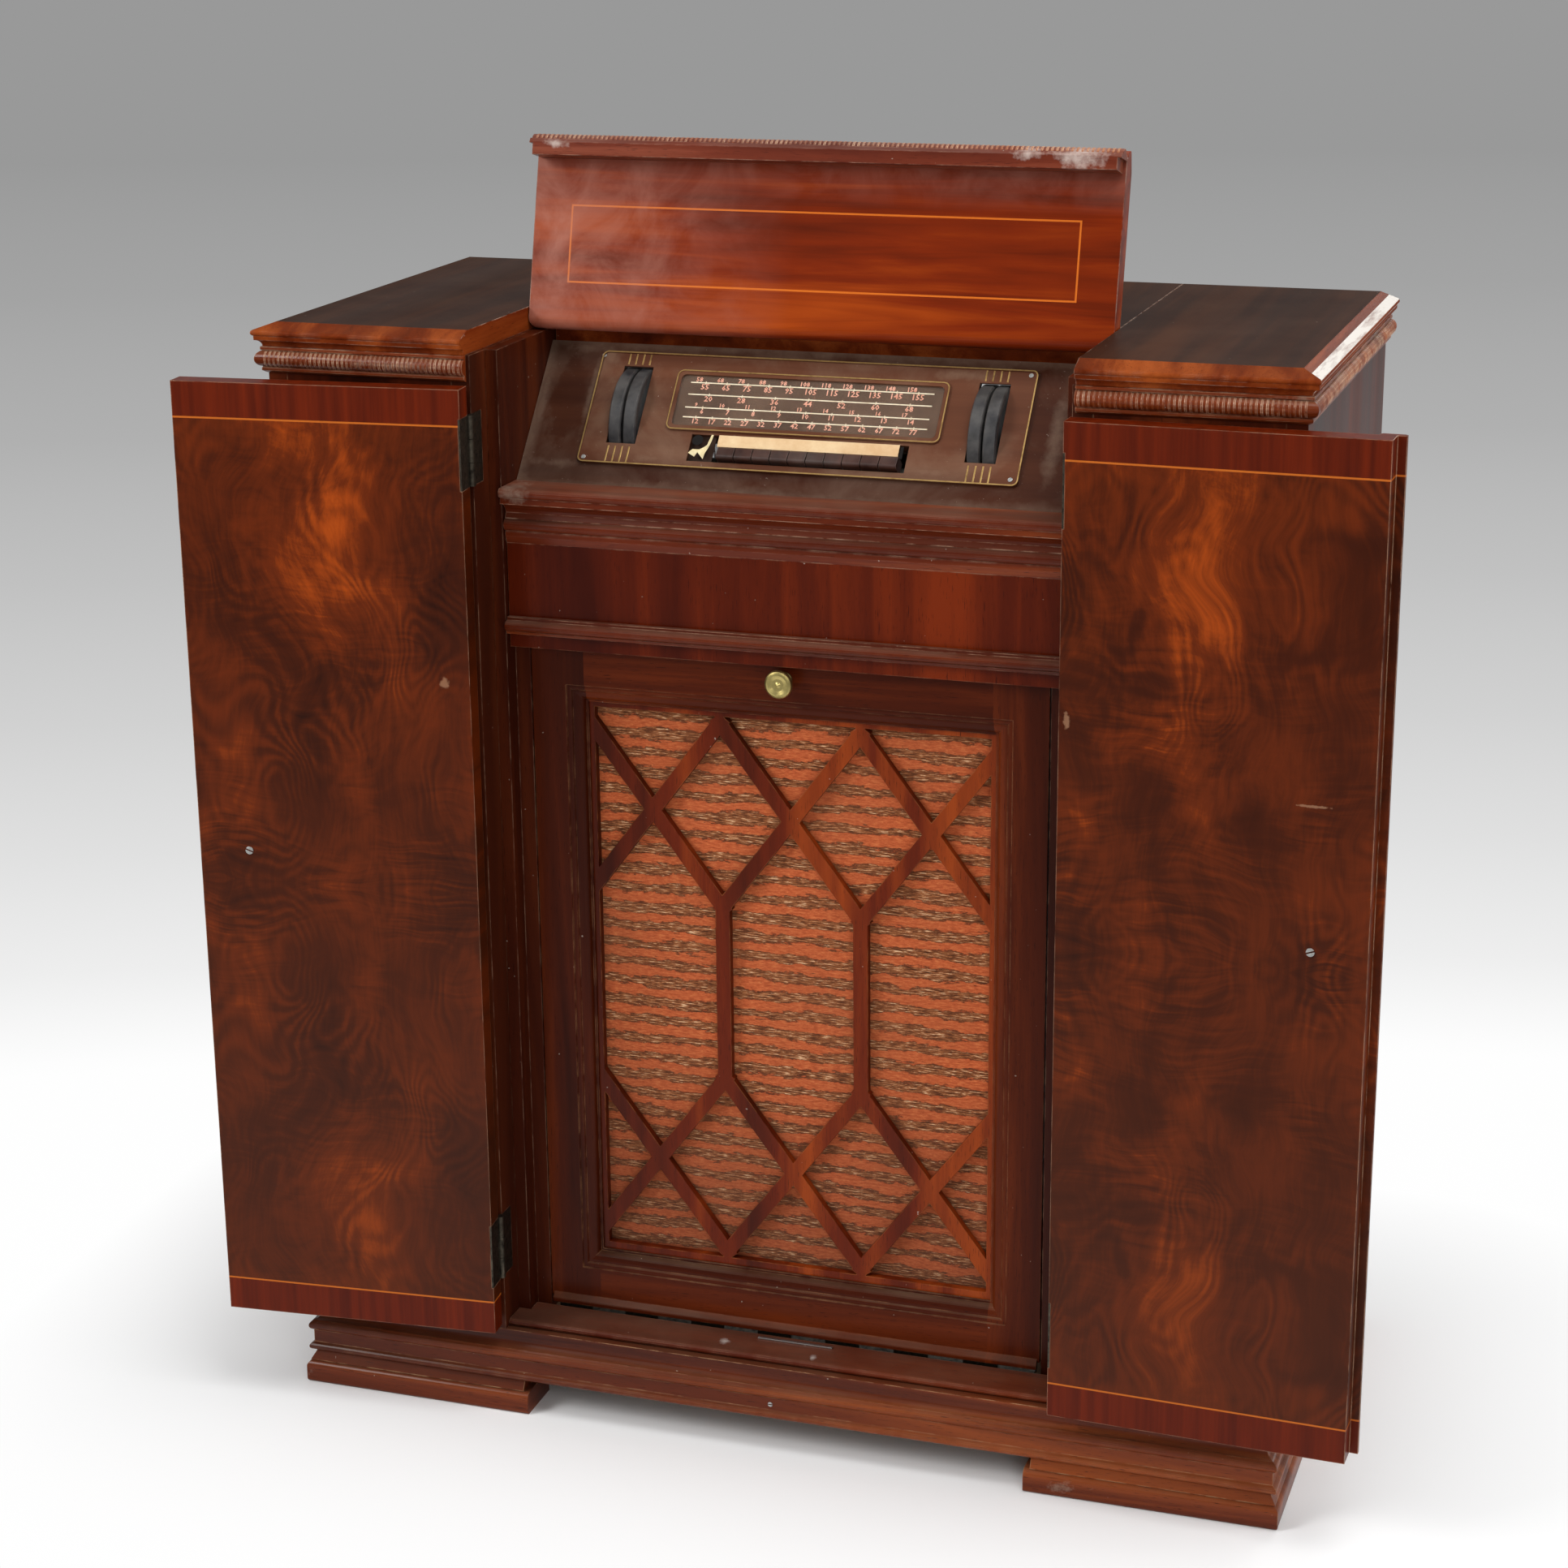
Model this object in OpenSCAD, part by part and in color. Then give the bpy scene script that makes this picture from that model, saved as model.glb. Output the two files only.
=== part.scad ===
// Radio-gramophone console cabinet of about 1940, shown as found: both doors folded
// back against the towers, the lid raised over the sloping control panel, and the
// tilt-out grille front shut.
// X is the width, -Y the front and +Z up. The origin is on the floor, in the middle of
// the plan. Inside the modules y = 0 is the front plane of the towers.

/* [Cabinet] */
// Width over the sides of the two towers
body_w = 834; // [760:1:900]
// Depth from the tower fronts to the open back
body_d = 390; // [375:1:460]
// Height of the top boards
top_z = 934; // [915:1:1000]
// Clear width between the towers
opening_w = 484; // [470:1:520]
// Thickness of the sides, fronts, partitions and shelves
panel_t = 16; // [12:0.5:18]
// Thickness of the top boards
top_t = 19; // [17:0.5:22]
// How far the top boards stand out past the towers
overhang = 10; // [8:0.5:14]
// Thickness of the cheek boards inside the partitions
cheek_t = 10.5; // [8:0.5:14]

/* [Base] */
// Height of the feet
foot_h = 30; // [24:1:45]
// Length of a front foot along the front
foot_w = 198; // [120:1:230]
// Length of a foot along the side
foot_d = 150; // [90:1:170]
// Thickness of the foot, seen from above
foot_t = 44; // [30:1:60]
// Height of the base moulding
base_h = 43; // [38:1:60]
// Thickness of the sill strip under the doors
sill_t = 6.5; // [4:0.5:10]

/* [Doors] */
// Thickness of a door
door_t = 19; // [16:0.5:22]
// Gap at the hinge edge of a door
door_gap = 0.5; // [0.3:0.1:1.5]
// Gap between the two closed doors
meeting_gap = 1; // [0.5:0.1:2]
// Gap under a door, and between it and the cornice
door_clearance = 1.75; // [1:0.25:4]
// Opening angle of the left door as photographed
left_open = 175; // [90:1:178]
// Opening angle of the right door as photographed
right_open = 178; // [90:1:178]
// How far the hinge axis stands in front of the towers
pivot_out = 3.5; // [3.3:0.1:5]
// Height of a butt hinge
hinge_h = 57; // [40:1:70]
// Width of a hinge leaf
leaf_w = 19; // [14:0.5:22]
// Height of a hinge middle above the bottom, or below the top, of its door
hinge_inset = 60; // [45:1:120]
// Height of the door knobs
door_knob_z = 502; // [400:1:560]
// Distance of a door knob from the hinge axis
door_knob_x = 198; // [190:1:215]

/* [Lid] */
// Opening angle of the lid as photographed
lid_open = 104; // [60:1:110]
// Distance of the lid axis behind the tower fronts
lid_axis_y = 137; // [120:1:150]
// Play under the closed lid
lid_play = 0.3; // [0.2:0.1:1]
// Play at each end of the lid
lid_end_gap = 0.8; // [0.5:0.1:2]
// Height of the cornice moulding under the top boards
cornice_h = 21; // [18:0.5:26]

/* [Control panel] */
// Distance of the panel's lower edge below the top of the cabinet
panel_drop = 131; // [127:1:138]
// Distance of that edge behind the tower fronts
panel_y = 59; // [50:1:64]
// Length of the panel up its slope
panel_len = 134; // [128:0.1:135]
// Slope of the control panel
panel_slope = 49.3; // [46:0.1:51]
// Thickness of the control panel
control_t = 8; // [5:0.5:10]
// Width of the escutcheon plate
plate_w = 366; // [350:1:380]
// Length of the escutcheon plate up the slope
plate_h = 104; // [98:1:106]
// Distance of the escutcheon from the lower edge of the panel
plate_s = 21; // [17:0.5:24]
// Thickness of the escutcheon
plate_t = 1.6; // [1:0.1:3]
// Width of the dial window
dial_w = 224; // [200:1:240]
// Height of the dial window
dial_h = 51; // [48:0.5:58]
// Middle of the dial window up the slope
dial_s = 82.5; // [80:0.5:86]
// Radius of a control wheel
wheel_r = 48; // [44:0.5:50]
// Width of a control wheel
wheel_w = 10.5; // [8:0.5:12]
// Depth of the wheel axis under the face of the panel
wheel_depth = 34; // [30:0.5:38]
// Distance of a wheel pair from the middle
wheel_x = 149.5; // [145:0.5:156]
// Number of push buttons
button_count = 10; // [6:1:11]
// Distance between push buttons
button_pitch = 15; // [12:0.1:15.6]
// Travel of a push button
button_travel = 4; // [2:0.5:5]
// Height of the frieze board between the nose and the bead under it
frieze_h = 74; // [66:0.5:82]

/* [Tilt front] */
// Width of the grille frame
frame_w = 435; // [420:1:440]
// Gap between the sill and the lower edge of the grille frame
frame_gap = 8.5; // [7:0.5:12]
// Depth of the frame's face behind the tower fronts
frame_y = 47; // [46:0.5:56]
// Thickness of the grille frame
frame_t = 19; // [16:0.5:22]
// Width of the stiles and of the lower rail
stile_w = 29; // [24:0.5:36]
// Width of the upper rail
rail_w = 29; // [24:0.5:36]
// Width of the stepped moulding round the grille
mould_w = 16; // [14:0.5:20]
// Width of a lattice bar
bar_w = 12.5; // [9:0.5:14]
// Thickness of the lattice
bar_t = 7; // [5:0.5:9]
// Furthest angle of the tilt front
tilt_open = 35; // [20:1:35]
// Diameter of the loudspeaker
speaker_d = 254; // [200:1:260]

/* [Record player] */
// Width of the record deck
deck_w = 392; // [370:1:400]
// Depth of the record deck
deck_d = 260; // [240:1:270]
// Thickness of the record deck
deck_t = 14; // [10:0.5:18]
// Distance of the deck's pivots below the top of the tilt front
deck_drop = 162; // [145:1:180]
// Distance of the deck's pivots behind the tower fronts
deck_pivot_y = 206; // [196:1:212]
// Diameter of the turntable
platter_d = 235; // [200:1:240]
// Length of the tone arm
arm_len = 205; // [190:1:215]

/* [Hidden] */
$fn = 48;
eps = 0.01;
// Radial play of a running pin
play = 0.05;
// Play between boards that slide past or stand beside each other
board_gap = 0.5;

knuckle_r = 3.2;
pin_r = 1.6;
leaf_t = 1.5;
knuckle_gap = 0.35;

half_open = opening_w / 2;
side_x = body_w / 2;
door_w = half_open - door_gap - meeting_gap / 2;
body_z = foot_h + base_h;
carcase_top = top_z - top_t;
cornice_z = carcase_top - cornice_h;
door_z = body_z + sill_t + door_clearance;
door_top = cornice_z - door_clearance;
inner_x = half_open - cheek_t;
fill_w = 2 * (inner_x - board_gap);
lid_gap_x = half_open + 3;
lid_half = lid_gap_x - lid_end_gap;
lid_z = carcase_top + lid_play;
lid_t = top_z - lid_z;
lid_r = lid_t / 2;
lid_axis_z = lid_z + lid_r;
// The open lid leans against the front edge of the rear top board.
lean_y = (lid_r * (1 - cos(lid_open)) + 0.2) / sin(lid_open);
rear_top_y = lid_axis_y + max(lid_r + lid_end_gap, lean_y);
cheek_y = door_t + 11;
back_y = body_d - 4;

// The plan of the photographed pose is centred on the origin.
// A tower that reaches behind the knobs holds the doors off by the length of a knob.
knob_stop = 180 - asin((22 - 2 * pivot_out) / door_knob_x);
open_limit = side_x > half_open + door_knob_x - 9 ? knob_stop : 180;
left_fold = min(left_open, open_limit);
right_fold = min(right_open, open_limit);
door_front = pivot_out + (door_gap + door_w) * sin(left_fold) - (pivot_out + door_t) * cos(left_fold);
front_y = (door_front - body_d) / 2;

frieze_y = 36;
frieze_t = 16;
panel_z = top_z - panel_drop;
nose_bottom = panel_z - 45;
rail_bottom = nose_bottom - frieze_h;
frame_top = rail_bottom - 15;
frieze_bottom = frame_top + 2.5;
frame_z = body_z + sill_t + frame_gap;
shelf_top = rail_bottom + panel_t;
strip_h = 13.5;
strip_t = 11;
nose_front = door_t + 2.5;
tilt_y = frame_y + 3;
tilt_z = frame_z - 4;
tilt_knuckle_r = 3;
tilt_segments = 14;

sight_w = frame_w - 2 * stile_w;
sight_low = frame_z + stile_w;
sight_high = frame_top - rail_w;
sight_h = sight_high - sight_low;
sight_mid = (sight_high + sight_low) / 2;
mould_depth = 12;
lattice_lap = 9.5;
lattice_w = sight_w - 2 * mould_w + 2 * lattice_lap;
lattice_h = sight_h - 2 * mould_w + 2 * lattice_lap;
cloth_t = 1.5;
baffle_t = 12;
lattice_y = frame_y + mould_depth;
cloth_y = frame_y + frame_t;
baffle_y = cloth_y + cloth_t;
speaker_z = sight_low + 145;
speaker_y = baffle_y + baffle_t;
grille_knob_z = frame_top - 11;

deck_pivot_z = frame_top - deck_drop;
deck_top = deck_pivot_z + deck_t / 2;
deck_front = 90;
deck_pin_r = 5;
link_offset = 90;
iron_t = 3;
iron_x = max(deck_w / 2 + 9, sight_w / 2 + 16.5);
link_x = iron_x + iron_t + 4;
stud_r = 4;
platter_x = -50;
platter_y = 222;
spindle_r = 3.5;
arm_x = 140;
arm_y = 310;
arm_post_r = 5;

chassis_w = 350;
chassis_y = 95;
chassis_d = 240;
chassis_h = 55;
chassis_top = shelf_top + chassis_h;
wheel_gap = 2;
wheel_spindle_r = 3;
wheel_slot_w = 2 * wheel_w + wheel_gap + 2.2;
wheel_s = 76;
wheel_slot_h = 2 * sqrt(pow(wheel_r, 2) - pow(wheel_depth, 2)) + 4;
wheel_back_slot_h = 2 * sqrt(pow(wheel_r, 2) - pow(wheel_depth - control_t, 2)) + 4;
button_slot_w = 181;
button_s = 29;
button_h = 11.5;
button_slot_s = 27.5;
button_slot_h = 24.5;
button_first_x = button_slot_w / 2 - 5.5 - (button_count - 0.5) * button_pitch;
button_top = 7;
stem_x = 4;
stem_s = 6;
guide_depth = 20;
pointer_travel = 100;
rail_r = 1;
rail_s = 120;
rail_depth = 10.5;

walnut = "saddlebrown";
dark_walnut = "#3a1f14";
brass = "#a8925a";
steel = "gray";

// ---- helpers ----

// Puts a module drawn from the tower fronts into the frame of the cabinet.
module place() translate([0, front_y, 0]) children();

module both_sides() {
    children();
    mirror([1, 0, 0]) children();
}

module board(x, y, z) {
    translate([x[0], y[0], z[0]]) cube([x[1] - x[0], y[1] - y[0], z[1] - z[0]]);
}

// Points of an arc, centre c, from angle a to angle b.
function arc(c, r, a, b, n = 6) =
    [for (i = [0:n]) c + r * [cos(a + (b - a) * i / n), sin(a + (b - a) * i / n)]];

// Turns a profile drawn as (y, z) into a bar along X, from x0 to x1.
module bar_x(x0, x1) translate([x0, 0, 0]) rotate([90, 0, 90]) linear_extrude(x1 - x0) children();

// A length of moulding along X. Its profile is (distance outward, height), outward is -Y,
// and either end can be cut as an outside mitre.
module run(length, start, end, reach = 60) {
    intersection() {
        bar_x(-reach, length + reach) mirror([1, 0]) children();
        linear_extrude(2 * top_z) polygon([
            [-reach * start, -reach], [length + reach * end, -reach],
            [length - reach * end, reach], [reach * start, reach]
        ]);
    }
}

// A moulding round the front and the outer side of the right-hand tower.
module tower_run(x_start, depth) {
    translate([x_start, 0, 0]) run(side_x - x_start, 0, 1) children();
    translate([side_x, 0, 0]) rotate([0, 0, 90]) run(depth, 1, 0) children();
}

module rounded_rect(w, h, r) polygon(concat(
    arc([w / 2 - r, h / 2 - r], r, 0, 90),
    arc([r - w / 2, h / 2 - r], r, 90, 180),
    arc([r - w / 2, r - h / 2], r, 180, 270),
    arc([w / 2 - r, r - h / 2], r, 270, 360)
));

// A body of revolution that stands out towards the front.
module turned_front() rotate([90, 0, 0]) rotate_extrude() children();

// ---- towers ----

module side_panel() board([side_x - panel_t, side_x], [0, body_d], [body_z, carcase_top]);

module left_side_panel() color(walnut) place() mirror([1, 0, 0]) side_panel();

module right_side_panel() color(walnut) place() side_panel();

module tower_front_panels() color(walnut) place() both_sides()
    board([half_open + panel_t, side_x - panel_t], [0, panel_t], [body_z, carcase_top]);

module partitions() color(walnut) place() both_sides() difference() {
    board([half_open, half_open + panel_t], [0, body_d], [body_z, carcase_top]);
    for (z = hinge_heights()) {
        board([half_open - eps, half_open + leaf_t], [-eps, leaf_w], [z - hinge_h / 2, z + hinge_h / 2]);
    }
}

// Cheek board on the partition, and the jamb that fills the gap beside the tilt front.
module cheeks() color(dark_walnut) place() both_sides() {
    board([inner_x, half_open], [cheek_y, back_y], [body_z, carcase_top]);
    board([frame_w / 2 + 1, inner_x + 1], [frame_y + 0.5, frame_y + panel_t], [body_z, frame_top + 2]);
}

// Edge of a top board: bevel, nose and cove, as (distance outward, height).
function top_nose(low) = concat(
    [[overhang - 16, top_z]],
    arc([overhang - 2.5, top_z - 7.5], 2.5, 65, -75, 5),
    arc([overhang - 2, carcase_top + 0.5], 5, 90, 180, 5),
    [[overhang - 7, low]]
);

module top_edge(depth) polygon(concat([[-depth, top_z]], top_nose(carcase_top), [[-depth, carcase_top]]));

module tower_top() {
    difference() {
        intersection() {
            bar_x(lid_gap_x, side_x + overhang) mirror([1, 0]) top_edge(body_d);
            translate([side_x, 0, 0]) rotate([0, 0, 90])
                bar_x(-overhang, body_d) mirror([1, 0]) top_edge(side_x - lid_gap_x);
        }
        lid_bush_place() cylinder(r = 6, h = 8.2);
    }
}

module tower_tops() color(dark_walnut) place() both_sides() tower_top();

// Cornice: fillet, half-round and lower fillet, as (distance outward, height).
module cornice_profile() {
    scale_h = cornice_h / 21;
    round_r = 6.5 * scale_h;
    round_z = carcase_top - 9.5 * scale_h;
    polygon(concat(
        [[0, carcase_top], [4.5, carcase_top], [4.5, carcase_top - 2.4 * scale_h]],
        arc([2, round_z], round_r, 80, -80, 10),
        [[4, carcase_top - 17 * scale_h], [4, carcase_top - 19 * scale_h], [1, cornice_z], [0, cornice_z]]
    ));
}

module cornices() color(walnut) place() both_sides() tower_run(lid_gap_x, body_d) cornice_profile();

// Fixed board behind the lid, with the rail under it that closes the gap behind the panel.
module rear_top() color(dark_walnut) place() {
    rail_y = slope_y(panel_len, control_t) + board_gap;
    rail_low = slope_z(wheel_s, wheel_depth) + wheel_r + 1.5;
    board([-lid_gap_x + board_gap, lid_gap_x - board_gap], [rear_top_y, body_d], [carcase_top, top_z]);
    board([-fill_w / 2, fill_w / 2], [rail_y, rail_y + panel_t], [rail_low, carcase_top + 1]);
}

// ---- base ----

module bottom_board() color(walnut) place()
    board([-side_x + 12, side_x - 12], [12, back_y], [body_z - panel_t, body_z]);

// The sill under the doors: a nosed strip, notched at its ends round the cheeks.
module sill() color(walnut) place() difference() {
    bar_x(-half_open + board_gap, half_open - board_gap) polygon(concat(
        arc([9, body_z + sill_t / 2], sill_t / 2, 270, 90, 6),
        [[tilt_y - 6, body_z + sill_t], [tilt_y - 6, body_z]]
    ));
    both_sides() board([inner_x - board_gap, half_open], [cheek_y - board_gap, tilt_y], [body_z - 1, frame_z]);
}

// Base moulding: lower bead, band, upper bead and cove.
module base_profile() {
    z = foot_h;
    polygon(concat(
        [[-12, z], [6.5, z]],
        arc([6.5, z + 3.2], 3.2, -60, 80, 5),
        [[6, z + 7.2], [6, z + 18.5]],
        arc([5, z + 23], 4.4, -65, 65, 6),
        arc([6.5, z + 34.5], 6.5, 265, 180, 6),
        [[0, body_z], [-12, body_z]]
    ));
}

module base_moulding() color(walnut) place() {
    translate([-side_x, 0, 0]) run(body_w, 1, 1) base_profile();
    both_sides() translate([side_x, 0, 0]) rotate([0, 0, 90]) run(body_d, 1, 0) base_profile();
}

// Foot: a bull-nosed lower slab under a bevelled upper one.
module foot_profile() {
    slab = foot_h * 2 / 3;
    polygon(concat(
        [[8 - foot_t, 0]],
        arc([9, 3], 3, -90, 0, 4),
        arc([6.5, slab - 5.5], 5.5, 0, 80, 5),
        [[9, slab + 0.5], [4, foot_h - 0.5], [3.5, foot_h], [8 - foot_t, foot_h]]
    ));
}

module feet() color(walnut) place() both_sides() {
    difference() {
        tower_run(side_x - foot_w, foot_d) foot_profile();
        board([side_x - foot_w - 1, side_x - foot_w + 5], [-20, foot_t], [foot_h * 2 / 3, foot_h + 1]);
    }
    translate([side_x, body_d - foot_d, 0]) rotate([0, 0, 90]) run(foot_d, 0, 0) foot_profile();
}

// ---- front rails ----

// The stack of mouldings under the control panel: nose, step, cove and bead.
module nose_moulding() color(dark_walnut) place() bar_x(-fill_w / 2, fill_w / 2) {
    top = panel_z + 2;
    polygon(concat(
        [[panel_y - board_gap, nose_bottom], [panel_y - board_gap, top]],
        arc([nose_front + 4, top - 4], 4, 90, 270, 8),
        [[nose_front + 3, top - 13]],
        arc([nose_front + 3, top - 25], 12, 90, 15, 6),
        [[frieze_y - 2, top - 26]],
        arc([frieze_y - 1, top - 31.5], 5, 100, 260, 8),
        [[frieze_y - 2.5, top - 37.5], [frieze_y - 2.5, top - 41], [frieze_y, nose_bottom]]
    ));
}

module frieze() color(walnut) place()
    board([-fill_w / 2, fill_w / 2], [frieze_y, frieze_y + frieze_t], [frieze_bottom, nose_bottom]);

module strip_moulding() color(walnut) place() bar_x(-fill_w / 2, fill_w / 2) {
    z = rail_bottom;
    front = frieze_y - strip_t;
    polygon(concat(
        [[frieze_y, z + strip_h], [frieze_y, z], [front + 4, z], [front + 3, z + 2.5]],
        arc([front + 4, z + 6.5], 4, 260, 90, 8),
        [[front + 6, z + 11], [front + 6, z + strip_h]]
    ));
}

module chassis_shelf() color(walnut) place()
    board([-fill_w / 2, fill_w / 2], [frieze_y + frieze_t, back_y], [rail_bottom, shelf_top]);

// ---- control panel, drawn flat: x across, y up the slope, z out of its face ----

module on_panel() place() translate([0, panel_y, panel_z]) rotate([panel_slope, 0, 0]) children();

module wheel_slots(w, h) {
    for (x = [-wheel_x, wheel_x]) translate([x, wheel_s]) square([w, h], center = true);
}

module button_slot() translate([-button_slot_w / 2, button_slot_s]) square([button_slot_w, button_slot_h]);

module control_panel() color(dark_walnut) on_panel() translate([0, 0, -control_t]) linear_extrude(control_t)
difference() {
    translate([-fill_w / 2, 0]) square([fill_w, panel_len]);
    wheel_slots(wheel_slot_w + 2, wheel_back_slot_h);
    button_slot();
    translate([0, dial_s]) square([dial_w, dial_h], center = true);
}

// Escutcheon with a raised rim round its edge and a bezel that holds the dial glass.
module escutcheon() color(brass) on_panel() {
    mid = plate_s + plate_h / 2;
    linear_extrude(plate_t) difference() {
        translate([0, mid]) rounded_rect(plate_w, plate_h, 5);
        wheel_slots(wheel_slot_w, wheel_slot_h);
        button_slot();
        translate([0, dial_s]) square([dial_w, dial_h], center = true);
    }
    translate([0, mid, plate_t - eps]) linear_extrude(0.9) difference() {
        rounded_rect(plate_w, plate_h, 5);
        rounded_rect(plate_w - 3, plate_h - 3, 3.5);
    }
    translate([0, dial_s, plate_t - eps]) linear_extrude(1.6) difference() {
        rounded_rect(dial_w + 5, dial_h + 5, 6);
        rounded_rect(dial_w - 4, dial_h - 4, 4);
    }
}

module dial_glass() color("lightblue", 0.4) on_panel()
    translate([0, dial_s, plate_t - 2.02]) linear_extrude(2) square([dial_w - 1, dial_h - 1], center = true);

// Scale plate on four spacers behind the window, with the rail that the pointer runs on.
module dial_scale() color("#4a3426") on_panel() {
    plate_top = rail_s + 5;
    plate_low = dial_s - dial_h / 2 - 4;
    half = pointer_travel + 22;
    translate([-half, plate_low, -14]) cube([2 * half, plate_top - plate_low, 1.5]);
    for (x = [-1, 1], s = [plate_low + 1.8, plate_top - 2]) {
        translate([x * (half - 3), s, -13]) cylinder(r = 1.8, h = 13 - control_t, $fn = 24);
    }
    for (x = [-1, 1]) translate([x * (pointer_travel + 12) - 1, rail_s - 2, -13]) cube([2, 4, 4]);
    translate([-pointer_travel - 12, rail_s, -rail_depth]) rotate([0, 90, 0])
        cylinder(r = rail_r, h = 2 * pointer_travel + 24, $fn = 24);
}

module dial_pointer() color("firebrick") on_panel() {
    difference() {
        translate([-4, rail_s - 2.2, -rail_depth - 1.4]) cube([8, 4.4, 3]);
        translate([-5, rail_s, -rail_depth]) rotate([0, 90, 0])
            cylinder(r = rail_r + play, h = 10, $fn = 24);
    }
    translate([-0.6, dial_s - dial_h / 2 + 3, -rail_depth - 1.2])
        cube([1.2, rail_s - 2 - dial_s + dial_h / 2 - 3, 0.8]);
}

// Label strip over the buttons. Its left end is torn loose and bent up, as photographed.
module button_strip() color("#d9c79a") on_panel() {
    low = button_s + button_h + 0.8;
    translate([button_first_x - button_pitch / 2 - 2, low, plate_t])
        cube([button_count * button_pitch, 10.5, 0.9]);
}

// Key cap on a stem that runs in the guide plate.
module button(i) color("#3b2318") on_panel() {
    x = button_first_x + (i - 1) * button_pitch;
    cap_w = button_pitch - 0.8;
    translate([x, button_s + button_h / 2, -8]) {
        translate([-cap_w / 2, 0, 0]) rotate([90, 0, 90]) linear_extrude(cap_w) polygon(concat(
            [[-button_h / 2, 0]],
            [[-button_h / 2, button_top + 5.5]],
            arc([-button_h / 2 + 2.5, button_top + 5.5], 2.5, 180, 90, 4),
            [[button_h / 2 - 2, button_top + 6.8], [button_h / 2, button_top + 5], [button_h / 2, 0]]
        ));
        translate([-stem_x / 2, -stem_s / 2, -guide_depth]) cube([stem_x, stem_s, guide_depth + 1]);
    }
}

module button_1() button(1);
module button_2() button(2);
module button_3() button(3);
module button_4() button(4);
module button_5() button(5);
module button_6() button(6);
module button_7() button(7);
module button_8() button(8);
module button_9() button(9);
module button_10() button(10);

// Rim, web and hub of a control wheel, on a spindle along X.
module wheel(x) color("#2c2c2e") on_panel() translate([x, wheel_s, -wheel_depth]) rotate([0, 90, 0])
rotate_extrude($fn = 96) {
    hub_r = wheel_spindle_r + 5;
    half = wheel_w / 2;
    polygon([
        [wheel_spindle_r + play, -half], [hub_r, -half], [hub_r, -2], [wheel_r - 6, -2],
        [wheel_r - 6, -half], [wheel_r - 1, -half], [wheel_r, -half + 1], [wheel_r, half - 1],
        [wheel_r - 1, half], [wheel_r - 6, half], [wheel_r - 6, 2], [hub_r, 2],
        [hub_r, half], [wheel_spindle_r + play, half]
    ]);
}

wheel_step = (wheel_w + wheel_gap) / 2;

module volume_wheel() wheel(-wheel_x - wheel_step);
module tone_wheel() wheel(-wheel_x + wheel_step);
module tuning_wheel() wheel(wheel_x - wheel_step);
module band_wheel() wheel(wheel_x + wheel_step);

// ---- radio ----

function slope_y(s, n) = panel_y + s * cos(panel_slope) + n * sin(panel_slope);
function slope_z(s, n) = panel_z + s * sin(panel_slope) - n * cos(panel_slope);

// Folded steel pan with screening cans, transformer and tuning gang, the uprights that
// hold the wheel spindles, and the guide plate of the push buttons on its legs.
module radio_chassis() color(steel) {
    wheel_axis_y = slope_y(wheel_s, wheel_depth);
    wheel_axis_z = slope_z(wheel_s, wheel_depth);
    upright = wheel_slot_w / 2 + 1.5;
    place() {
        difference() {
            board([-chassis_w / 2, chassis_w / 2], [chassis_y, chassis_y + chassis_d], [shelf_top, chassis_top]);
            board(
                [2 - chassis_w / 2, chassis_w / 2 - 2], [chassis_y + 2, chassis_y + chassis_d - 2],
                [shelf_top - 1, chassis_top - 2]
            );
        }
        board([85, 155], [245, 315], [chassis_top - 1, chassis_top + 78]);
        board([-35, 35], [205, 265], [chassis_top - 1, chassis_top + 45]);
        for (x = [-75, 60]) translate([x, 225, chassis_top - 1]) cylinder(r = 17, h = 66);
        for (side = [-1, 1]) {
            for (x = [-upright, upright]) {
                board(
                    [side * wheel_x + x - 1, side * wheel_x + x + 1],
                    [wheel_axis_y - 8, wheel_axis_y + 8],
                    [chassis_top - 1, wheel_axis_z + 8]
                );
            }
            translate([side * wheel_x - upright, wheel_axis_y, wheel_axis_z]) rotate([0, 90, 0])
                cylinder(r = wheel_spindle_r, h = 2 * upright);
        }
        for (x = [-1, 1]) {
            y = slope_y(button_s, guide_depth + 2);
            board([x * 88 - 2, x * 88 + 2], [y + 2, y + 8], [chassis_top - 1, slope_z(button_s, guide_depth) + 4]);
        }
    }
    on_panel() difference() {
        translate([-90, button_s - 4, -guide_depth - 4]) cube([180, button_h + 8, 2]);
        for (i = [1:button_count]) {
            translate([
                button_first_x + (i - 1) * button_pitch - stem_x / 2 - 0.15,
                button_s + button_h / 2 - stem_s / 2 - 0.15,
                -guide_depth - 5
            ]) cube([stem_x + 0.3, stem_s + 0.3, 4]);
        }
    }
}

// Glass valves, each a bulb on its base.
module valve(h) rotate_extrude($fn = 48) polygon(concat(
    [[0, 0], [14, 0], [14, 22], [15, 24]],
    arc([2, h - 20], 17, 0, 75, 6),
    [[5, h], [0, h]]
));

module valves() color("lightgray", 0.6) place() for (spot = [
    [-140, 290, 92], [-95, 300, 88], [-45, 305, 88], [10, 300, 80], [55, 300, 100], [-110, 215, 84]
]) translate([spot[0], spot[1], chassis_top]) valve(spot[2]);

// ---- hinges ----

function hinge_heights() = [door_z + hinge_inset + 11, door_top - hinge_inset + 8];

function third(i) = -hinge_h / 2 + i * hinge_h / 3;

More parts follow.
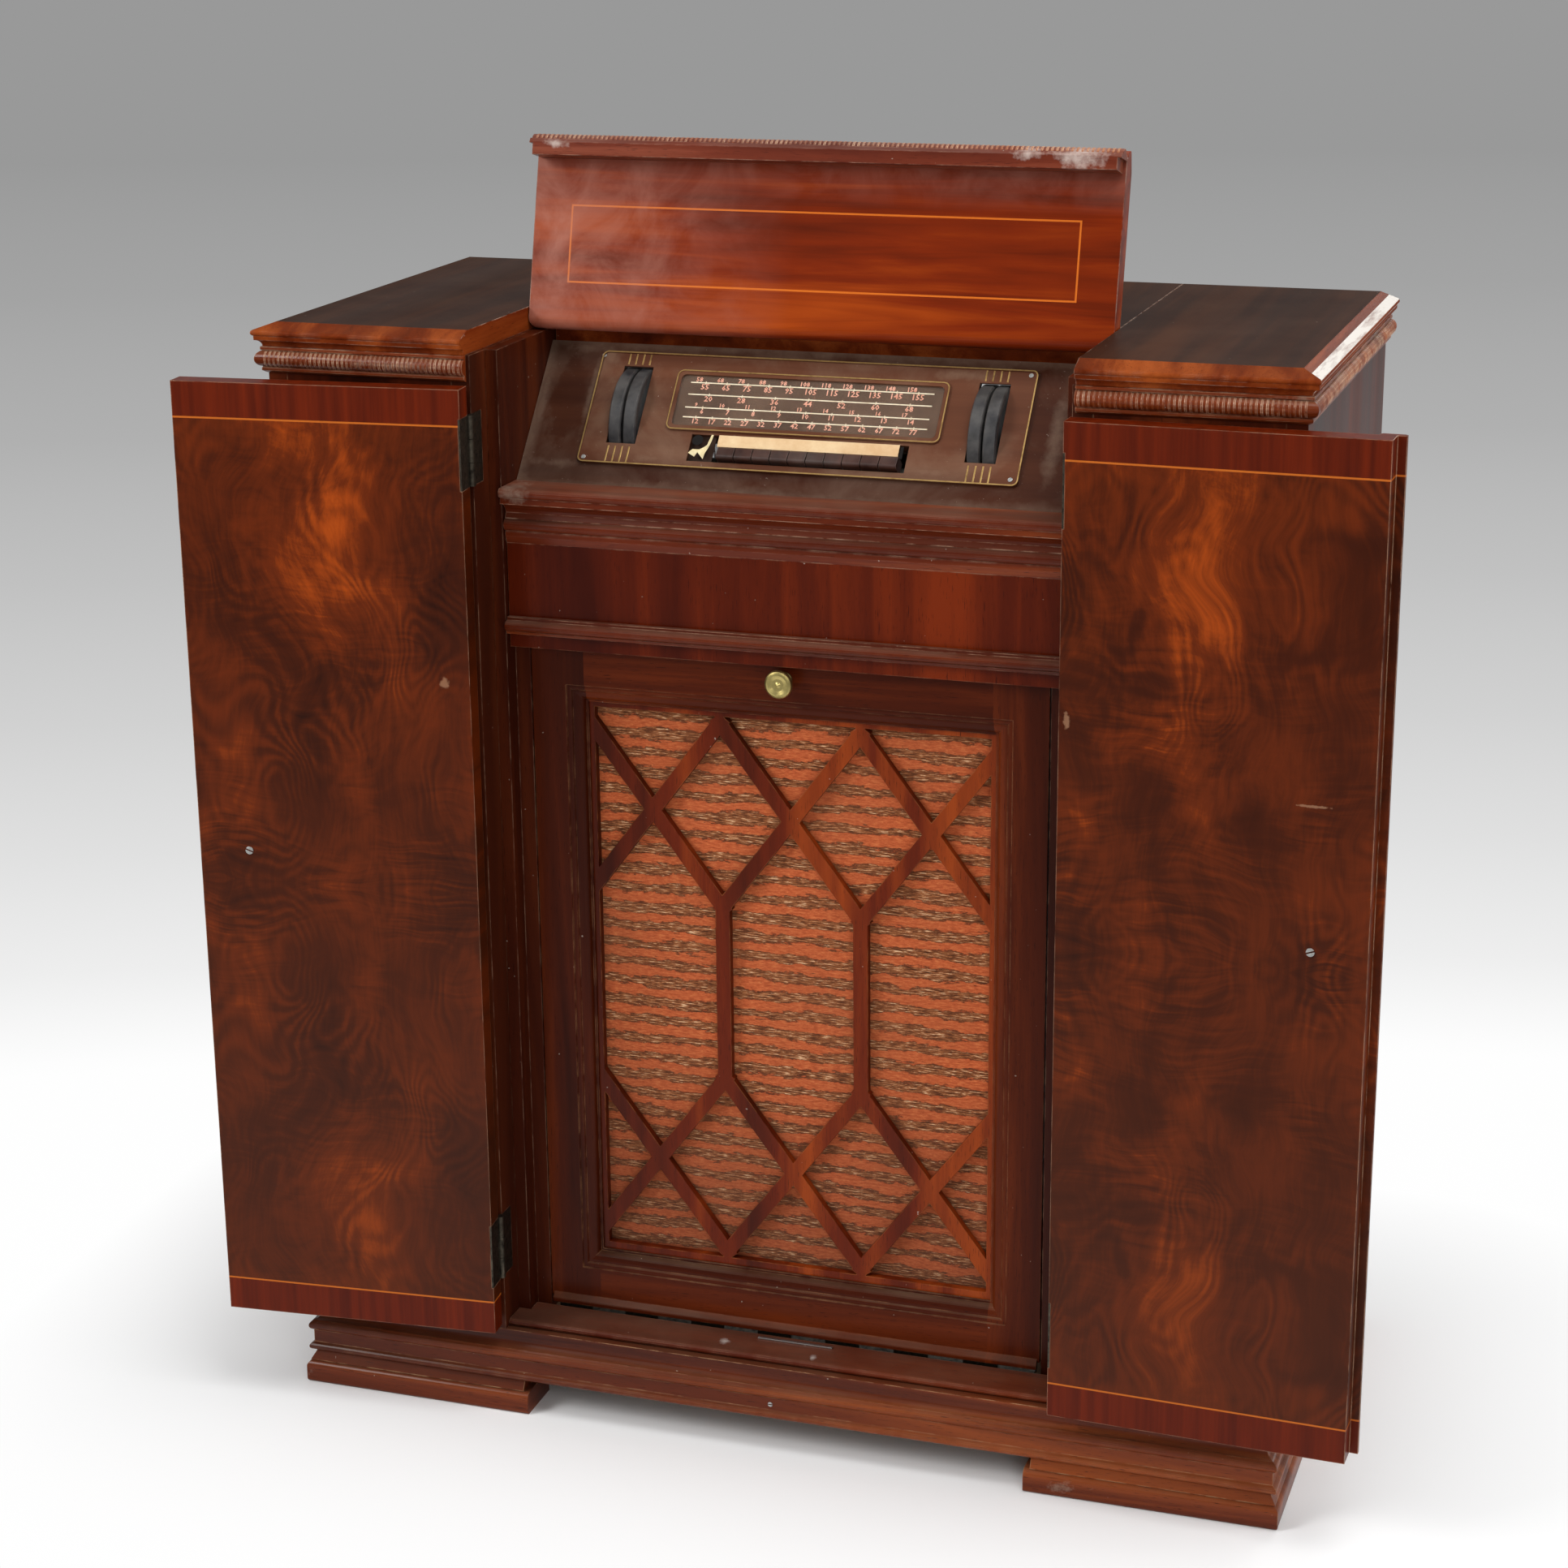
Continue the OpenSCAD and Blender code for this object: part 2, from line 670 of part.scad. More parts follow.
// One knuckle of a door hinge, with the web that joins it to its leaf.
module knuckle(i, side, bore) {
    difference() {
        union() {
            translate([0, 0, third(i) + knuckle_gap / 2])
                cylinder(r = knuckle_r, h = hinge_h / 3 - knuckle_gap);
            translate([side > 0 ? 0 : -door_gap - leaf_t, 0, third(i) + knuckle_gap / 2])
                cube([side > 0 ? leaf_t : door_gap + leaf_t - 0.3, pivot_out + 1, hinge_h / 3 - knuckle_gap]);
        }
        if (bore > 0) translate([0, 0, third(i) - 1]) cylinder(r = bore, h = hinge_h / 3 + 2);
    }
}

// Leaf let into the partition, with the outer knuckles and the pin.
module fixed_leaf() {
    for (i = [0, 2]) knuckle(i, 1, 0);
    cylinder(r = pin_r, h = hinge_h - 2, center = true);
    translate([0, pivot_out, -hinge_h / 2]) cube([leaf_t, leaf_w, hinge_h]);
}

// Leaf let into the door edge, with the middle knuckle.
module door_leaf() {
    knuckle(1, -1, pin_r + play);
    translate([-door_gap - leaf_t, pivot_out, -hinge_h / 2]) cube([leaf_t, leaf_w, hinge_h]);
}

module lid_bush_place() translate([lid_gap_x, lid_axis_y, lid_axis_z]) rotate([0, 90, 0]) children();

// Bush for a lid pin, in the inner edge of a tower top.
module lid_bush() lid_bush_place() difference() {
    cylinder(r = 6, h = 8);
    translate([0, 0, -1]) cylinder(r = 3 + play, h = 10);
}

function segment_x(i) = -frame_w / 2 + 6 + i * (frame_w - 12) / tilt_segments;

// Knuckles of the long hinge under the tilt front: odd ones move, even ones stay.
module tilt_knuckles(first, bore) {
    step = (frame_w - 12) / tilt_segments;
    for (i = [first:2:tilt_segments - 1]) {
        difference() {
            translate([segment_x(i) + knuckle_gap / 2, tilt_y, tilt_z]) rotate([0, 90, 0])
                cylinder(r = tilt_knuckle_r, h = step - knuckle_gap, $fn = 24);
            if (bore > 0) translate([segment_x(i) - 1, tilt_y, tilt_z]) rotate([0, 90, 0])
                cylinder(r = bore, h = step + 2, $fn = 24);
        }
    }
}

module cabinet_ironwork() color(steel) place() {
    step = (frame_w - 12) / tilt_segments;
    both_sides() {
        for (z = hinge_heights()) translate([half_open, -pivot_out, z]) fixed_leaf();
        lid_bush();
        translate([link_x - 1, tilt_y + link_offset, tilt_z]) rotate([0, 90, 0])
            cylinder(r = stud_r, h = inner_x - link_x + 1);
    }
    tilt_knuckles(0, 0);
    translate([segment_x(0) + 1, tilt_y, tilt_z]) rotate([0, 90, 0])
        cylinder(r = 1.5, h = frame_w - 14, $fn = 24);
    board([segment_x(0), segment_x(tilt_segments)], [tilt_y - 0.8, tilt_y + 12], [body_z, body_z + 1.5]);
    for (i = [0:2:tilt_segments - 1]) {
        board(
            [segment_x(i) + knuckle_gap / 2, segment_x(i) + step - knuckle_gap / 2],
            [tilt_y - 0.8, tilt_y + 0.8], [body_z + 1, tilt_z - 1.8]
        );
    }
}

// ---- doors ----

module hang_right() place() translate([half_open, -pivot_out, 0]) rotate([0, 0, right_fold]) children();

module hang_left() place() mirror([1, 0, 0]) translate([half_open, -pivot_out, 0])
    rotate([0, 0, left_fold]) children();

// A closed door seen from its hinge axis, with the leaves let into its edge.
module door_board() difference() {
    board([-door_gap - door_w, -door_gap], [pivot_out, pivot_out + door_t], [door_z, door_top]);
    for (z = hinge_heights()) {
        board(
            [-door_gap - leaf_t, -door_gap + eps], [pivot_out - eps, pivot_out + leaf_w + eps],
            [z - hinge_h / 2, z + hinge_h / 2]
        );
    }
}

module left_door() color(walnut) hang_left() door_board();

// The right door carries the strip that laps over the left one.
module right_door() color(walnut) hang_right() {
    meeting = -door_gap - door_w;
    door_board();
    translate([0, 0, door_z]) linear_extrude(door_top - door_z) polygon([
        [meeting + 13, pivot_out + 1], [meeting + 13, pivot_out - 4], [meeting + 11, pivot_out - 6],
        [meeting - 5, pivot_out - 6], [meeting - 7, pivot_out - 4], [meeting - 7, pivot_out - 0.5],
        [meeting, pivot_out - 0.5], [meeting, pivot_out + 1]
    ]);
}

module door_knob() translate([-door_knob_x, pivot_out, door_knob_z]) turned_front() polygon(concat(
    [[0, 0], [8, 0], [8, 1.5], [4.5, 4]],
    [[4.5, 9]],
    arc([5, 14], 6.5, -50, 60, 6),
    [[4, 20.5], [0, 21]]
));

module left_door_knob() color(brass) hang_left() door_knob();
module right_door_knob() color(brass) hang_right() door_knob();

module left_door_leaves() color(steel) hang_left() for (z = hinge_heights()) translate([0, 0, z]) door_leaf();
module right_door_leaves() color(steel) hang_right() for (z = hinge_heights()) translate([0, 0, z]) door_leaf();

// ---- lid ----

module hang_lid() place() translate([0, lid_axis_y, lid_axis_z]) rotate([-lid_open, 0, 0])
    translate([0, -lid_axis_y, -lid_axis_z]) children();

// Lid board: the nose of the top boards in front, a round edge on the axis behind.
module lid() color(walnut) hang_lid() difference() {
    // The left-hand corner is rounded, the right-hand one only eased.
    corner = 7;
    eased = 1;
    edge_y = lid_axis_y + lid_r;
    intersection() {
        bar_x(-lid_half, lid_half) polygon(concat(
            [for (p = top_nose(lid_z)) [-p[0], p[1]]],
            arc([lid_axis_y, lid_axis_z], lid_r, -90, 90, 14)
        ));
        linear_extrude(2 * top_z) polygon(concat(
            [[-lid_half, -2 * overhang], [lid_half, -2 * overhang]],
            arc([lid_half - eased, edge_y - eased], eased, 0, 90, 3),
            arc([corner - lid_half, edge_y - corner], corner, 90, 180)
        ));
    }
    both_sides() translate([lid_half - 9, lid_axis_y, lid_axis_z]) rotate([0, 90, 0]) cylinder(r = 3, h = 10);
}

// Cornice under the front edge of the lid, with its narrower backing strip.
module lid_cornice() color(walnut) hang_lid() {
    translate([-lid_half, -0.4, lid_play]) run(2 * lid_half, 0, 0) cornice_profile();
    board([-inner_lip(), inner_lip()], [-0.4 - eps, 9], [cornice_z + lid_play, lid_z]);
}

function inner_lip() = half_open - lid_end_gap;

module lid_pivots() color(steel) hang_lid() both_sides()
    translate([lid_half - 9, lid_axis_y, lid_axis_z]) rotate([0, 90, 0])
        cylinder(r = 3, h = 9 + lid_end_gap + 7);

// ---- tilt front ----

// One side of the stepped moulding, from the frame's inner edge towards the grille.
module sight_moulding(length) intersection() {
    bar_x(-length / 2, length / 2) polygon(concat(
        [[0, -eps], [frame_t, -eps], [frame_t, mould_w - lattice_lap - 0.5]],
        [[mould_depth, mould_w - lattice_lap - 0.5], [mould_depth, mould_w], [mould_depth - 2, mould_w]],
        arc([mould_depth - 2, mould_w - 8], 6, 90, 170, 5),
        [[3.5, mould_w - 9], [3.5, 5]],
        arc([3.5, 3], 2, 90, 180, 3),
        [[1.5, 0.5], [0, 0.5]]
    ));
    rotate([90, 0, 0]) translate([0, 0, -2 * frame_t]) linear_extrude(4 * frame_t) polygon([
        [-length / 2 - eps, -eps], [length / 2 + eps, -eps],
        [length / 2 - mould_w, mould_w], [mould_w - length / 2, mould_w]
    ]);
}

// Frame with a lip along its lower edge, in front of the long hinge.
module grille_frame() color(walnut) place() {
    bar_x(2 - frame_w / 2, frame_w / 2 - 2) polygon([
        [frame_y + eps, frame_z + 3], [frame_y - 3.6, frame_z - 1.2], [frame_y - 4, frame_z - 2],
        [frame_y - 4, frame_z - 5], [frame_y - 0.4, frame_z - 5], [frame_y - 0.4, frame_z + 0.5],
        [frame_y + eps, frame_z + 0.5]
    ]);
    difference() {
        board([-frame_w / 2, frame_w / 2], [frame_y, frame_y + frame_t], [frame_z, frame_top]);
        board([-sight_w / 2, sight_w / 2], [0, 2 * frame_y], [sight_low, sight_high]);
    }
    translate([0, frame_y, sight_mid]) {
        for (turn = [0, 180]) rotate([0, turn, 0]) translate([0, 0, -sight_h / 2]) sight_moulding(sight_w);
        for (turn = [90, 270]) rotate([0, turn, 0]) translate([0, 0, -sight_w / 2]) sight_moulding(sight_h);
    }
}

module bar_between(p, q) {
    d = q - p;
    translate(p) rotate(atan2(d[1], d[0])) translate([-bar_w / 2, -bar_w / 2]) square([norm(d) + bar_w, bar_w]);
}

// Upper half of the lattice: crossing bars in three bays, then upright bars to the middle.
module half_lattice() {
    bay = (sight_w - 20) / 3;
    drop = lattice_h * 0.31;
    top = lattice_h / 2 - 20.5;
    for (i = [-1.5, -0.5, 0.5]) {
        bar_between([i * bay, top], [(i + 1) * bay, top - drop]);
        bar_between([(i + 1) * bay, top], [i * bay, top - drop]);
    }
    for (x = [-bay / 2, bay / 2]) bar_between([x, top - drop], [x, 0]);
}

// The bars stand a millimetre high in their border, as on the real grille.
module grille_lattice() color(walnut) place() translate([0, lattice_y + bar_t, sight_mid]) rotate([90, 0, 0])
linear_extrude(bar_t) intersection() {
    square([lattice_w, lattice_h], center = true);
    translate([0, 1]) union() {
        half_lattice();
        mirror([0, 1]) half_lattice();
        difference() {
            square([lattice_w + 9, lattice_h + 9], center = true);
            square([lattice_w - 28, lattice_h - 30], center = true);
        }
    }
}

module speaker_cloth() color("indianred") place() board(
    [-sight_w / 2 - 3, sight_w / 2 + 3], [cloth_y, cloth_y + cloth_t], [sight_low - 7, sight_high + 3]
);

module speaker_baffle() color("tan") place() difference() {
    board(
        [-sight_w / 2 - 4, sight_w / 2 + 4], [baffle_y, baffle_y + baffle_t],
        [sight_low - 8, sight_high + 4]
    );
    translate([0, baffle_y - 1, speaker_z]) rotate([-90, 0, 0]) cylinder(r = speaker_d / 2 - 20, h = baffle_t + 2);
}

// Pressed basket with its rim, paper cone and magnet.
module speaker() color(steel) place() translate([0, speaker_y, speaker_z]) rotate([-90, 0, 0]) {
    r = speaker_d / 2;
    difference() {
        rotate_extrude($fn = 64) polygon([
            [r - 16, 0], [r, 0], [r, 2.5], [r - 12, 2.5], [r - 20, 20], [48, 66], [48, 70],
            [44, 70], [44, 64], [r - 24, 19], [r - 20, 2.5]
        ]);
        for (a = [45:90:315]) rotate([0, 0, a]) translate([r * 0.62, 0, 42]) cube([60, 70, 36], center = true);
    }
    translate([0, 0, 68]) cylinder(r = 50, h = 42);
    rotate_extrude($fn = 64) polygon([
        [r - 22, 4], [r - 17, 2], [r - 17, 4.5], [r - 23, 8], [22, 60], [22, 70], [0, 70], [0, 66], [18, 58]
    ]);
}

module grille_knob() color(brass) place() translate([0, frame_y, grille_knob_z]) turned_front() polygon(concat(
    [[0, 0], [7, 0], [7, 1.5], [4, 4], [4, 9], [7, 10.5]],
    arc([8, 14], 3.7, -60, 90, 6),
    [[8, 17.7], [5, 16.6], [2.5, 16.6], [0, 18]]
));

// Side arms that carry the record deck, and the moving leaf of the long hinge.
module tilt_irons() color(steel) place() {
    step = (frame_w - 12) / tilt_segments;
    arm_low = deck_pivot_z - 92;
    arm_high = deck_pivot_z + 92;
    back = frame_y + frame_t;
    both_sides() {
        translate([iron_x, 0, 0]) bar_x(0, iron_t) difference() {
            union() {
                polygon([
                    [back, arm_low], [back, arm_high], [back + 14, arm_high],
                    [deck_pivot_y + 5, deck_pivot_z + 13], [deck_pivot_y + 5, deck_pivot_z - 13],
                    [back + 14, arm_low]
                ]);
                translate([deck_pivot_y, deck_pivot_z]) circle(14);
            }
            translate([deck_pivot_y, deck_pivot_z]) circle(deck_pin_r + play);
            polygon([
                [back + 20, arm_low + 42], [back + 20, arm_high - 42],
                [deck_pivot_y - 30, deck_pivot_z + 8], [deck_pivot_y - 30, deck_pivot_z - 8]
            ]);
        }
        board([sight_w / 2 + 5, iron_x + iron_t], [back, back + iron_t], [arm_low, arm_high]);
    }
    tilt_knuckles(1, 1.5 + play);
    board([segment_x(0), segment_x(tilt_segments)], [tilt_y + 3.5, tilt_y + 13], [frame_z - 1.5, frame_z]);
    for (i = [1:2:tilt_segments - 1]) {
        board(
            [segment_x(i) + knuckle_gap / 2, segment_x(i) + step - knuckle_gap / 2],
            [tilt_y + 1.8, tilt_y + 4], [tilt_z + 0.5, frame_z]
        );
    }
}

// ---- record player ----

// Deck board with its end pins, the post of the tone arm and the arm rest.
module record_deck() color(dark_walnut) place() {
    difference() {
        board([-deck_w / 2, deck_w / 2], [deck_front, deck_front + deck_d], [deck_top - deck_t, deck_top]);
        translate([platter_x, platter_y, deck_top - deck_t - 1]) cylinder(r = 12, h = deck_t + 2);
    }
    both_sides() {
        translate([deck_w / 2 - 1, deck_pivot_y, deck_pivot_z]) rotate([0, 90, 0])
            cylinder(r = deck_pin_r, h = iron_x + iron_t + 2 - deck_w / 2);
        translate([deck_w / 2 - 1, deck_pivot_y + link_offset, deck_pivot_z]) rotate([0, 90, 0])
            cylinder(r = deck_pin_r, h = link_x + iron_t + 2 - deck_w / 2);
    }
    translate([arm_x, arm_y, deck_top - 1]) cylinder(r = 14, h = 12);
    translate([arm_x, arm_y, deck_top - 1]) cylinder(r = arm_post_r, h = 34);
    translate([arm_x, arm_y - arm_len * 0.72, deck_top - 1]) {
        cylinder(r = 3, h = 16);
        translate([-8, -4, 15]) cube([16, 8, 3]);
    }
}

// Motor slung under the deck, with the spindle that drives the turntable.
module deck_motor() color(steel) place() translate([platter_x, platter_y, 0]) {
    translate([0, 0, deck_top - deck_t - 62]) cylinder(r = 46, h = 62);
    translate([0, 0, deck_top - deck_t - 1]) cylinder(r = 9, h = deck_t + 3);
    cylinder_top = deck_top + 24;
    translate([0, 0, deck_top - deck_t]) cylinder(r = spindle_r, h = cylinder_top - deck_top + deck_t);
}

// Bars that keep the deck level: each runs from a stud on the cheek to the deck's end.
module levelling_links() color(steel) place() both_sides() translate([link_x, 0, 0]) {
    low = [tilt_y + link_offset, tilt_z];
    high = [deck_pivot_y + link_offset, deck_pivot_z];
    bar_x(0, iron_t) difference() {
        union() {
            translate(low) circle(9);
            translate(high) circle(9);
            translate(low) rotate(atan2(high[1] - low[1], high[0] - low[0]))
                translate([0, -6]) square([norm(high - low), 12]);
        }
        translate(low) circle(stud_r + play);
        translate(high) circle(deck_pin_r + play);
    }
}

module turntable() color("dimgray") place() translate([platter_x, platter_y, deck_top + 2.5])
rotate_extrude($fn = 96) {
    r = platter_d / 2;
    polygon([
        [spindle_r + play, 0], [12, 0], [12, 3], [r - 4, 3], [r - 4, -0.5], [r - 1, -0.5],
        [r, 0.5], [r, 6.5], [r - 1.5, 8], [spindle_r + play, 8]
    ]);
}

// Arm with its hub over the post and the pickup head at the front.
module tone_arm() color("#5b4636") place() translate([arm_x, arm_y, deck_top]) {
    difference() {
        translate([0, 0, 11.3]) cylinder(r = 12, h = 19.7);
        translate([0, 0, 11]) cylinder(r = arm_post_r + play, h = 22);
    }
    difference() {
        hull() {
            translate([0, -8, 17]) linear_extrude(13) square([16, 14], center = true);
            translate([0, 20 - arm_len, 18]) linear_extrude(8) square([9, 6], center = true);
        }
        translate([0, 0, 14]) cylinder(r = 11, h = 20);
    }
    hull() {
        translate([0, 30 - arm_len, 15.5]) linear_extrude(12) square([12, 8], center = true);
        translate([0, 4 - arm_len, 15.5]) linear_extrude(9) square([20, 12], center = true);
    }
}

// ---- assembly ----

left_side_panel();
right_side_panel();
tower_front_panels();
partitions();
cheeks();
tower_tops();
cornices();
rear_top();
bottom_board();
sill();
base_moulding();
feet();
control_panel();
escutcheon();
dial_glass();
dial_scale();
button_strip();
nose_moulding();
frieze();
strip_moulding();
chassis_shelf();
radio_chassis();
valves();
cabinet_ironwork();
left_door();
left_door_knob();
left_door_leaves();
right_door();
right_door_knob();
right_door_leaves();
lid();
lid_cornice();
lid_pivots();
grille_frame();
grille_lattice();
speaker_cloth();
speaker_baffle();
speaker();
grille_knob();
tilt_irons();
record_deck();
deck_motor();
levelling_links();
turntable();
tone_arm();
volume_wheel();
tone_wheel();
tuning_wheel();
band_wheel();
dial_pointer();
button_1();
button_2();
button_3();
button_4();
button_5();
button_6();
button_7();
button_8();
button_9();
button_10();
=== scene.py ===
# %% [markdown]
# A walnut radio-gramophone console in Blender.
# The cabinet was built as a CAD assembly first: doors, lid, tilt front and controls are
# its named nodes, already in place and to size. This lesson gives each of them the finish
# of the real piece, and adds what is too small or too soft for the CAD model: reeded
# beads, dial markings, inlaid lines, screws and loudspeaker cloth.

# %% Load the frame
import math
from functools import partial

import bmesh
import bpy
from mathutils import Matrix, Vector


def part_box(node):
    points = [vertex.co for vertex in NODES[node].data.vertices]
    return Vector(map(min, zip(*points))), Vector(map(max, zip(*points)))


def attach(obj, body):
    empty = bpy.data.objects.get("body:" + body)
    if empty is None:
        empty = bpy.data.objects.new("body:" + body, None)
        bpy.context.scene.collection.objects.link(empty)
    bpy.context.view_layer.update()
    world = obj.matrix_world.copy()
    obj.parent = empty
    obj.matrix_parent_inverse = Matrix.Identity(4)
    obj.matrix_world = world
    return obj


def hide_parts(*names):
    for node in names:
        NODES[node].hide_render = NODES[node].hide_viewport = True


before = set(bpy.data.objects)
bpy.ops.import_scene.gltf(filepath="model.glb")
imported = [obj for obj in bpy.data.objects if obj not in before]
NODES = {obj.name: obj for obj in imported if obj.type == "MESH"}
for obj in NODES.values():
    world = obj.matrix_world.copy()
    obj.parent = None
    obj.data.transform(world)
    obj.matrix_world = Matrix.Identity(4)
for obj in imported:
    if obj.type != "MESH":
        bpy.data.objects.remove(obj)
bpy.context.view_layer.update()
MM = 0.001

# %% [markdown]
# The photograph was taken from the front right, a little above the lid, with a long lens.
# Its straight edges give the camera: place, yaw, pitch, a slight roll and the focal
# length. The matrix is built from the three directions of the camera, so no rotation
# order has to be remembered.

# %% Camera
YAW, PITCH, ROLL = math.radians(18.431), math.radians(17.194), math.radians(-0.543)
EYE = (0.7784, -2.4630, 1.3339)
FOCAL_PIXELS, PHOTO_PIXELS = 3948.31, 1932

forward = Vector((-math.sin(YAW) * math.cos(PITCH), math.cos(YAW) * math.cos(PITCH), -math.sin(PITCH)))
level_right = Vector((math.cos(YAW), math.sin(YAW), 0))
level_up = level_right.cross(forward)
right = math.cos(ROLL) * level_right + math.sin(ROLL) * level_up
up = math.cos(ROLL) * level_up - math.sin(ROLL) * level_right

lens = bpy.data.cameras.new("camera")
lens.sensor_width = 36
lens.lens = FOCAL_PIXELS / PHOTO_PIXELS * lens.sensor_width
lens.clip_end = 60
camera = bpy.data.objects.new("camera", lens)
camera.matrix_world = Matrix.Translation(EYE) @ Matrix((right, up, -forward)).transposed().to_4x4()
bpy.context.scene.collection.objects.link(camera)
bpy.context.scene.camera = camera
bpy.context.scene.view_settings.view_transform = "Standard"
print("lens", round(lens.lens, 2), "mm")

# %% [markdown]
# A material is a small tree of nodes. One function adds every node below: it makes the
# settings, then fills the inputs with links or values. Each new tree comes with its own
# copy of it, called add. Colours are written as sRGB hex values, as a paint chart gives
# them, and turned into the linear numbers that a renderer adds and multiplies. The other
# helpers work as a finisher does: a mottled pattern, masks that act together, and a layer
# of another colour where the masks let it through.

# %% Material helpers
def linear(hex_colour):
    channels = [int(hex_colour[i:i + 2], 16) / 255 for i in (1, 3, 5)]
    return [c / 12.92 if c <= 0.04045 else ((c + 0.055) / 1.055) ** 2.4 for c in channels] + [1.0]


def add_node(tree, kind, *values, named=None, stops=(), **settings):
    """Adds a shader node, its kind written with a maths node's operation. values fill the inputs that show,
    in order, named the inputs of those names. A value is a socket, a node (its first output that shows), a
    number, a vector or a hex colour. stops are a ramp's places and colours, lowest first."""
    kind, _, operation = kind.partition(" ")
    made = tree.nodes.new("ShaderNode" + kind)
    if operation:
        made.operation = operation
    for setting, value in settings.items():
        setattr(made, setting, value)
    fills = list(zip([socket for socket in made.inputs if socket.enabled], values))
    fills += [(made.inputs[name], value) for name, value in (named or {}).items()]
    for socket, value in fills:
        if isinstance(value, bpy.types.Node):
            value = next(output for output in value.outputs if output.enabled)
        if isinstance(value, bpy.types.NodeSocket):
            tree.links.new(value, socket)
        else:
            socket.default_value = linear(value) if isinstance(value, str) else value
    if stops:
        elements = made.color_ramp.elements
        elements[0].position, elements[1].position = stops[0][0], stops[-1][0]
        for place, _ in stops[1:-1]:
            elements.new(place)
        for element, (_, colour) in zip(elements, stops):
            element.color = linear(colour)
    return made


def mottle(add, place, scale, detail=4, rough=0.6, bend=0.0, span=None):
    """A pattern from 0 to 1. scale is a number, or three numbers that stretch it along a grain. span: the
    two limits between which the pattern counts, and what it becomes there if that isn't 0 to 1."""
    if not isinstance(scale, (int, float)):
        place, scale = add("Mapping", place, named={"Scale": scale}), 1
    pattern = add("TexNoise", named={"Vector": place, "Scale": scale, "Detail": detail, "Roughness": rough,
                                     "Distortion": bend})
    return add("MapRange", pattern, *span) if span else pattern


def together(add, *masks):
    """The masks multiplied: 1 only where each of them is."""
    product = masks[0]
    for mask in masks[1:]:
        product = add("Math MULTIPLY", product, mask)
    return product


def over(add, colour, layer, *masks):
    """Lays another colour over a colour, as far as the masks let it through."""
    return add("Mix", together(add, *masks), colour, layer, data_type="RGBA")


def three_tones(add, tone, colours):
    """A dark, a middle and a light colour, mixed by a tone from 0 to 1."""
    return add("ValToRGB", tone, stops=list(zip((0.0, 0.5, 1.0), colours)))


def new_tree(name):
    """A new material, the function that adds nodes to its tree, and the places on the object."""
    material = bpy.data.materials.new(name)
    material.use_nodes = True
    material.node_tree.nodes.clear()
    add = partial(add_node, material.node_tree)
    return material, add, add("TexCoord").outputs["Object"]


def finish_tree(add, colour, roughness, specular=0.5, relief=(), coat=(), ior=1.5, **others):
    """The one Principled shader. relief: a bump's strength, depth, height and, if need be, normal. coat: a
    clear coat's weight, roughness and IOR. others: more inputs, with _ for the space in a name."""
    inputs = {"Base Color": colour, "Roughness": roughness, "Specular IOR Level": specular, "IOR": ior}
    inputs |= dict(zip(("Coat Weight", "Coat Roughness", "Coat IOR"), coat))
    inputs |= {name.replace("_", " "): value for name, value in others.items()}
    if relief:
        inputs["Normal"] = add("Bump", named=dict(zip(("Strength", "Distance", "Height", "Normal"), relief)))
    add("OutputMaterial", add("BsdfPrincipled", named=inputs))


def paint(objects, material):
    for obj in objects:
        obj.data.materials.clear()
        obj.data.materials.append(material)


dressed = set()


def dress(names, material):
    """Gives CAD nodes their finish."""
    paint([NODES[name] for name in names], material)
    dressed.update(names)

# %% [markdown]
# The photograph has a white floor that turns grey towards the back. Up to 0.3 m from the
# cabinet the floor is plain matt white and keeps the soft shadow. Farther away it carries
# its own grey, darker with the distance, for the eye and for reflections alike, so the
# lamps don't have to light thirty metres of paper.

# %% Floor
FLOOR_RADIUS = 34
FOOTPRINT = (0.45, 0.2, 0.0)
SHADOW_REACH = 0.3
FADE = [(0.0, "#ffffff"), (0.75, "#fefefe"), (1.04, "#eeeeee"), (1.49, "#e0e0e0"), (2.1, "#d1d1d1"),
        (3.0, "#c1c1c1"), (4.35, "#b0b0b0"), (6.5, "#a3a3a3"), (9.9, "#999999")]
FADE_END = FADE[-1][0]
FADE_SIDEWAYS = 0.35
FADE_IN_FRONT = (-2.0, -0.6)


def seen(add):
    """1 for rays from the camera, a mirror or a glass, 0 for the light that falls on things."""
    path = add("LightPath").outputs
    either = add("Math MAXIMUM", path["Is Camera Ray"], path["Is Glossy Ray"])
    return add("Math MAXIMUM", either, path["Is Transmission Ray"])


def floor_paper():
    material, add, place = new_tree("matt white background paper")
    # the fade runs along the line on which the cabinet is seen, slower to the sides, faster in front
    turned = add("Mapping", place, named={"Rotation": (0, 0, -YAW)})
    split = add("SeparateXYZ", turned).outputs
    in_front = add("Math MULTIPLY_ADD", split["Y"], *FADE_IN_FRONT)
    along = add("Math MAXIMUM", split["Y"], in_front)
    flat = add("CombineXYZ", together(add, split["X"], FADE_SIDEWAYS), along)
    away = add("MapRange", add("VectorMath LENGTH", flat), 0.0, FADE_END)
    grey = add("ValToRGB", away, stops=[(metres / FADE_END, tone) for metres, tone in FADE])
    # distance from the rectangle that the cabinet stands on
    beyond = add("VectorMath ABSOLUTE", place)
    beyond = add("VectorMath SUBTRACT", beyond, FOOTPRINT)
    beyond = add("VectorMath MAXIMUM", beyond, (0.0, 0.0, 0.0))
    beyond = add("VectorMath LENGTH", beyond)
    far = together(add, add("MapRange", beyond, 0.0, SHADOW_REACH), seen(add))
    matt = add("BsdfDiffuse", "#fafafa")
    add("OutputMaterial", add("MixShader", far, matt, add("Emission", grey)))
    return material


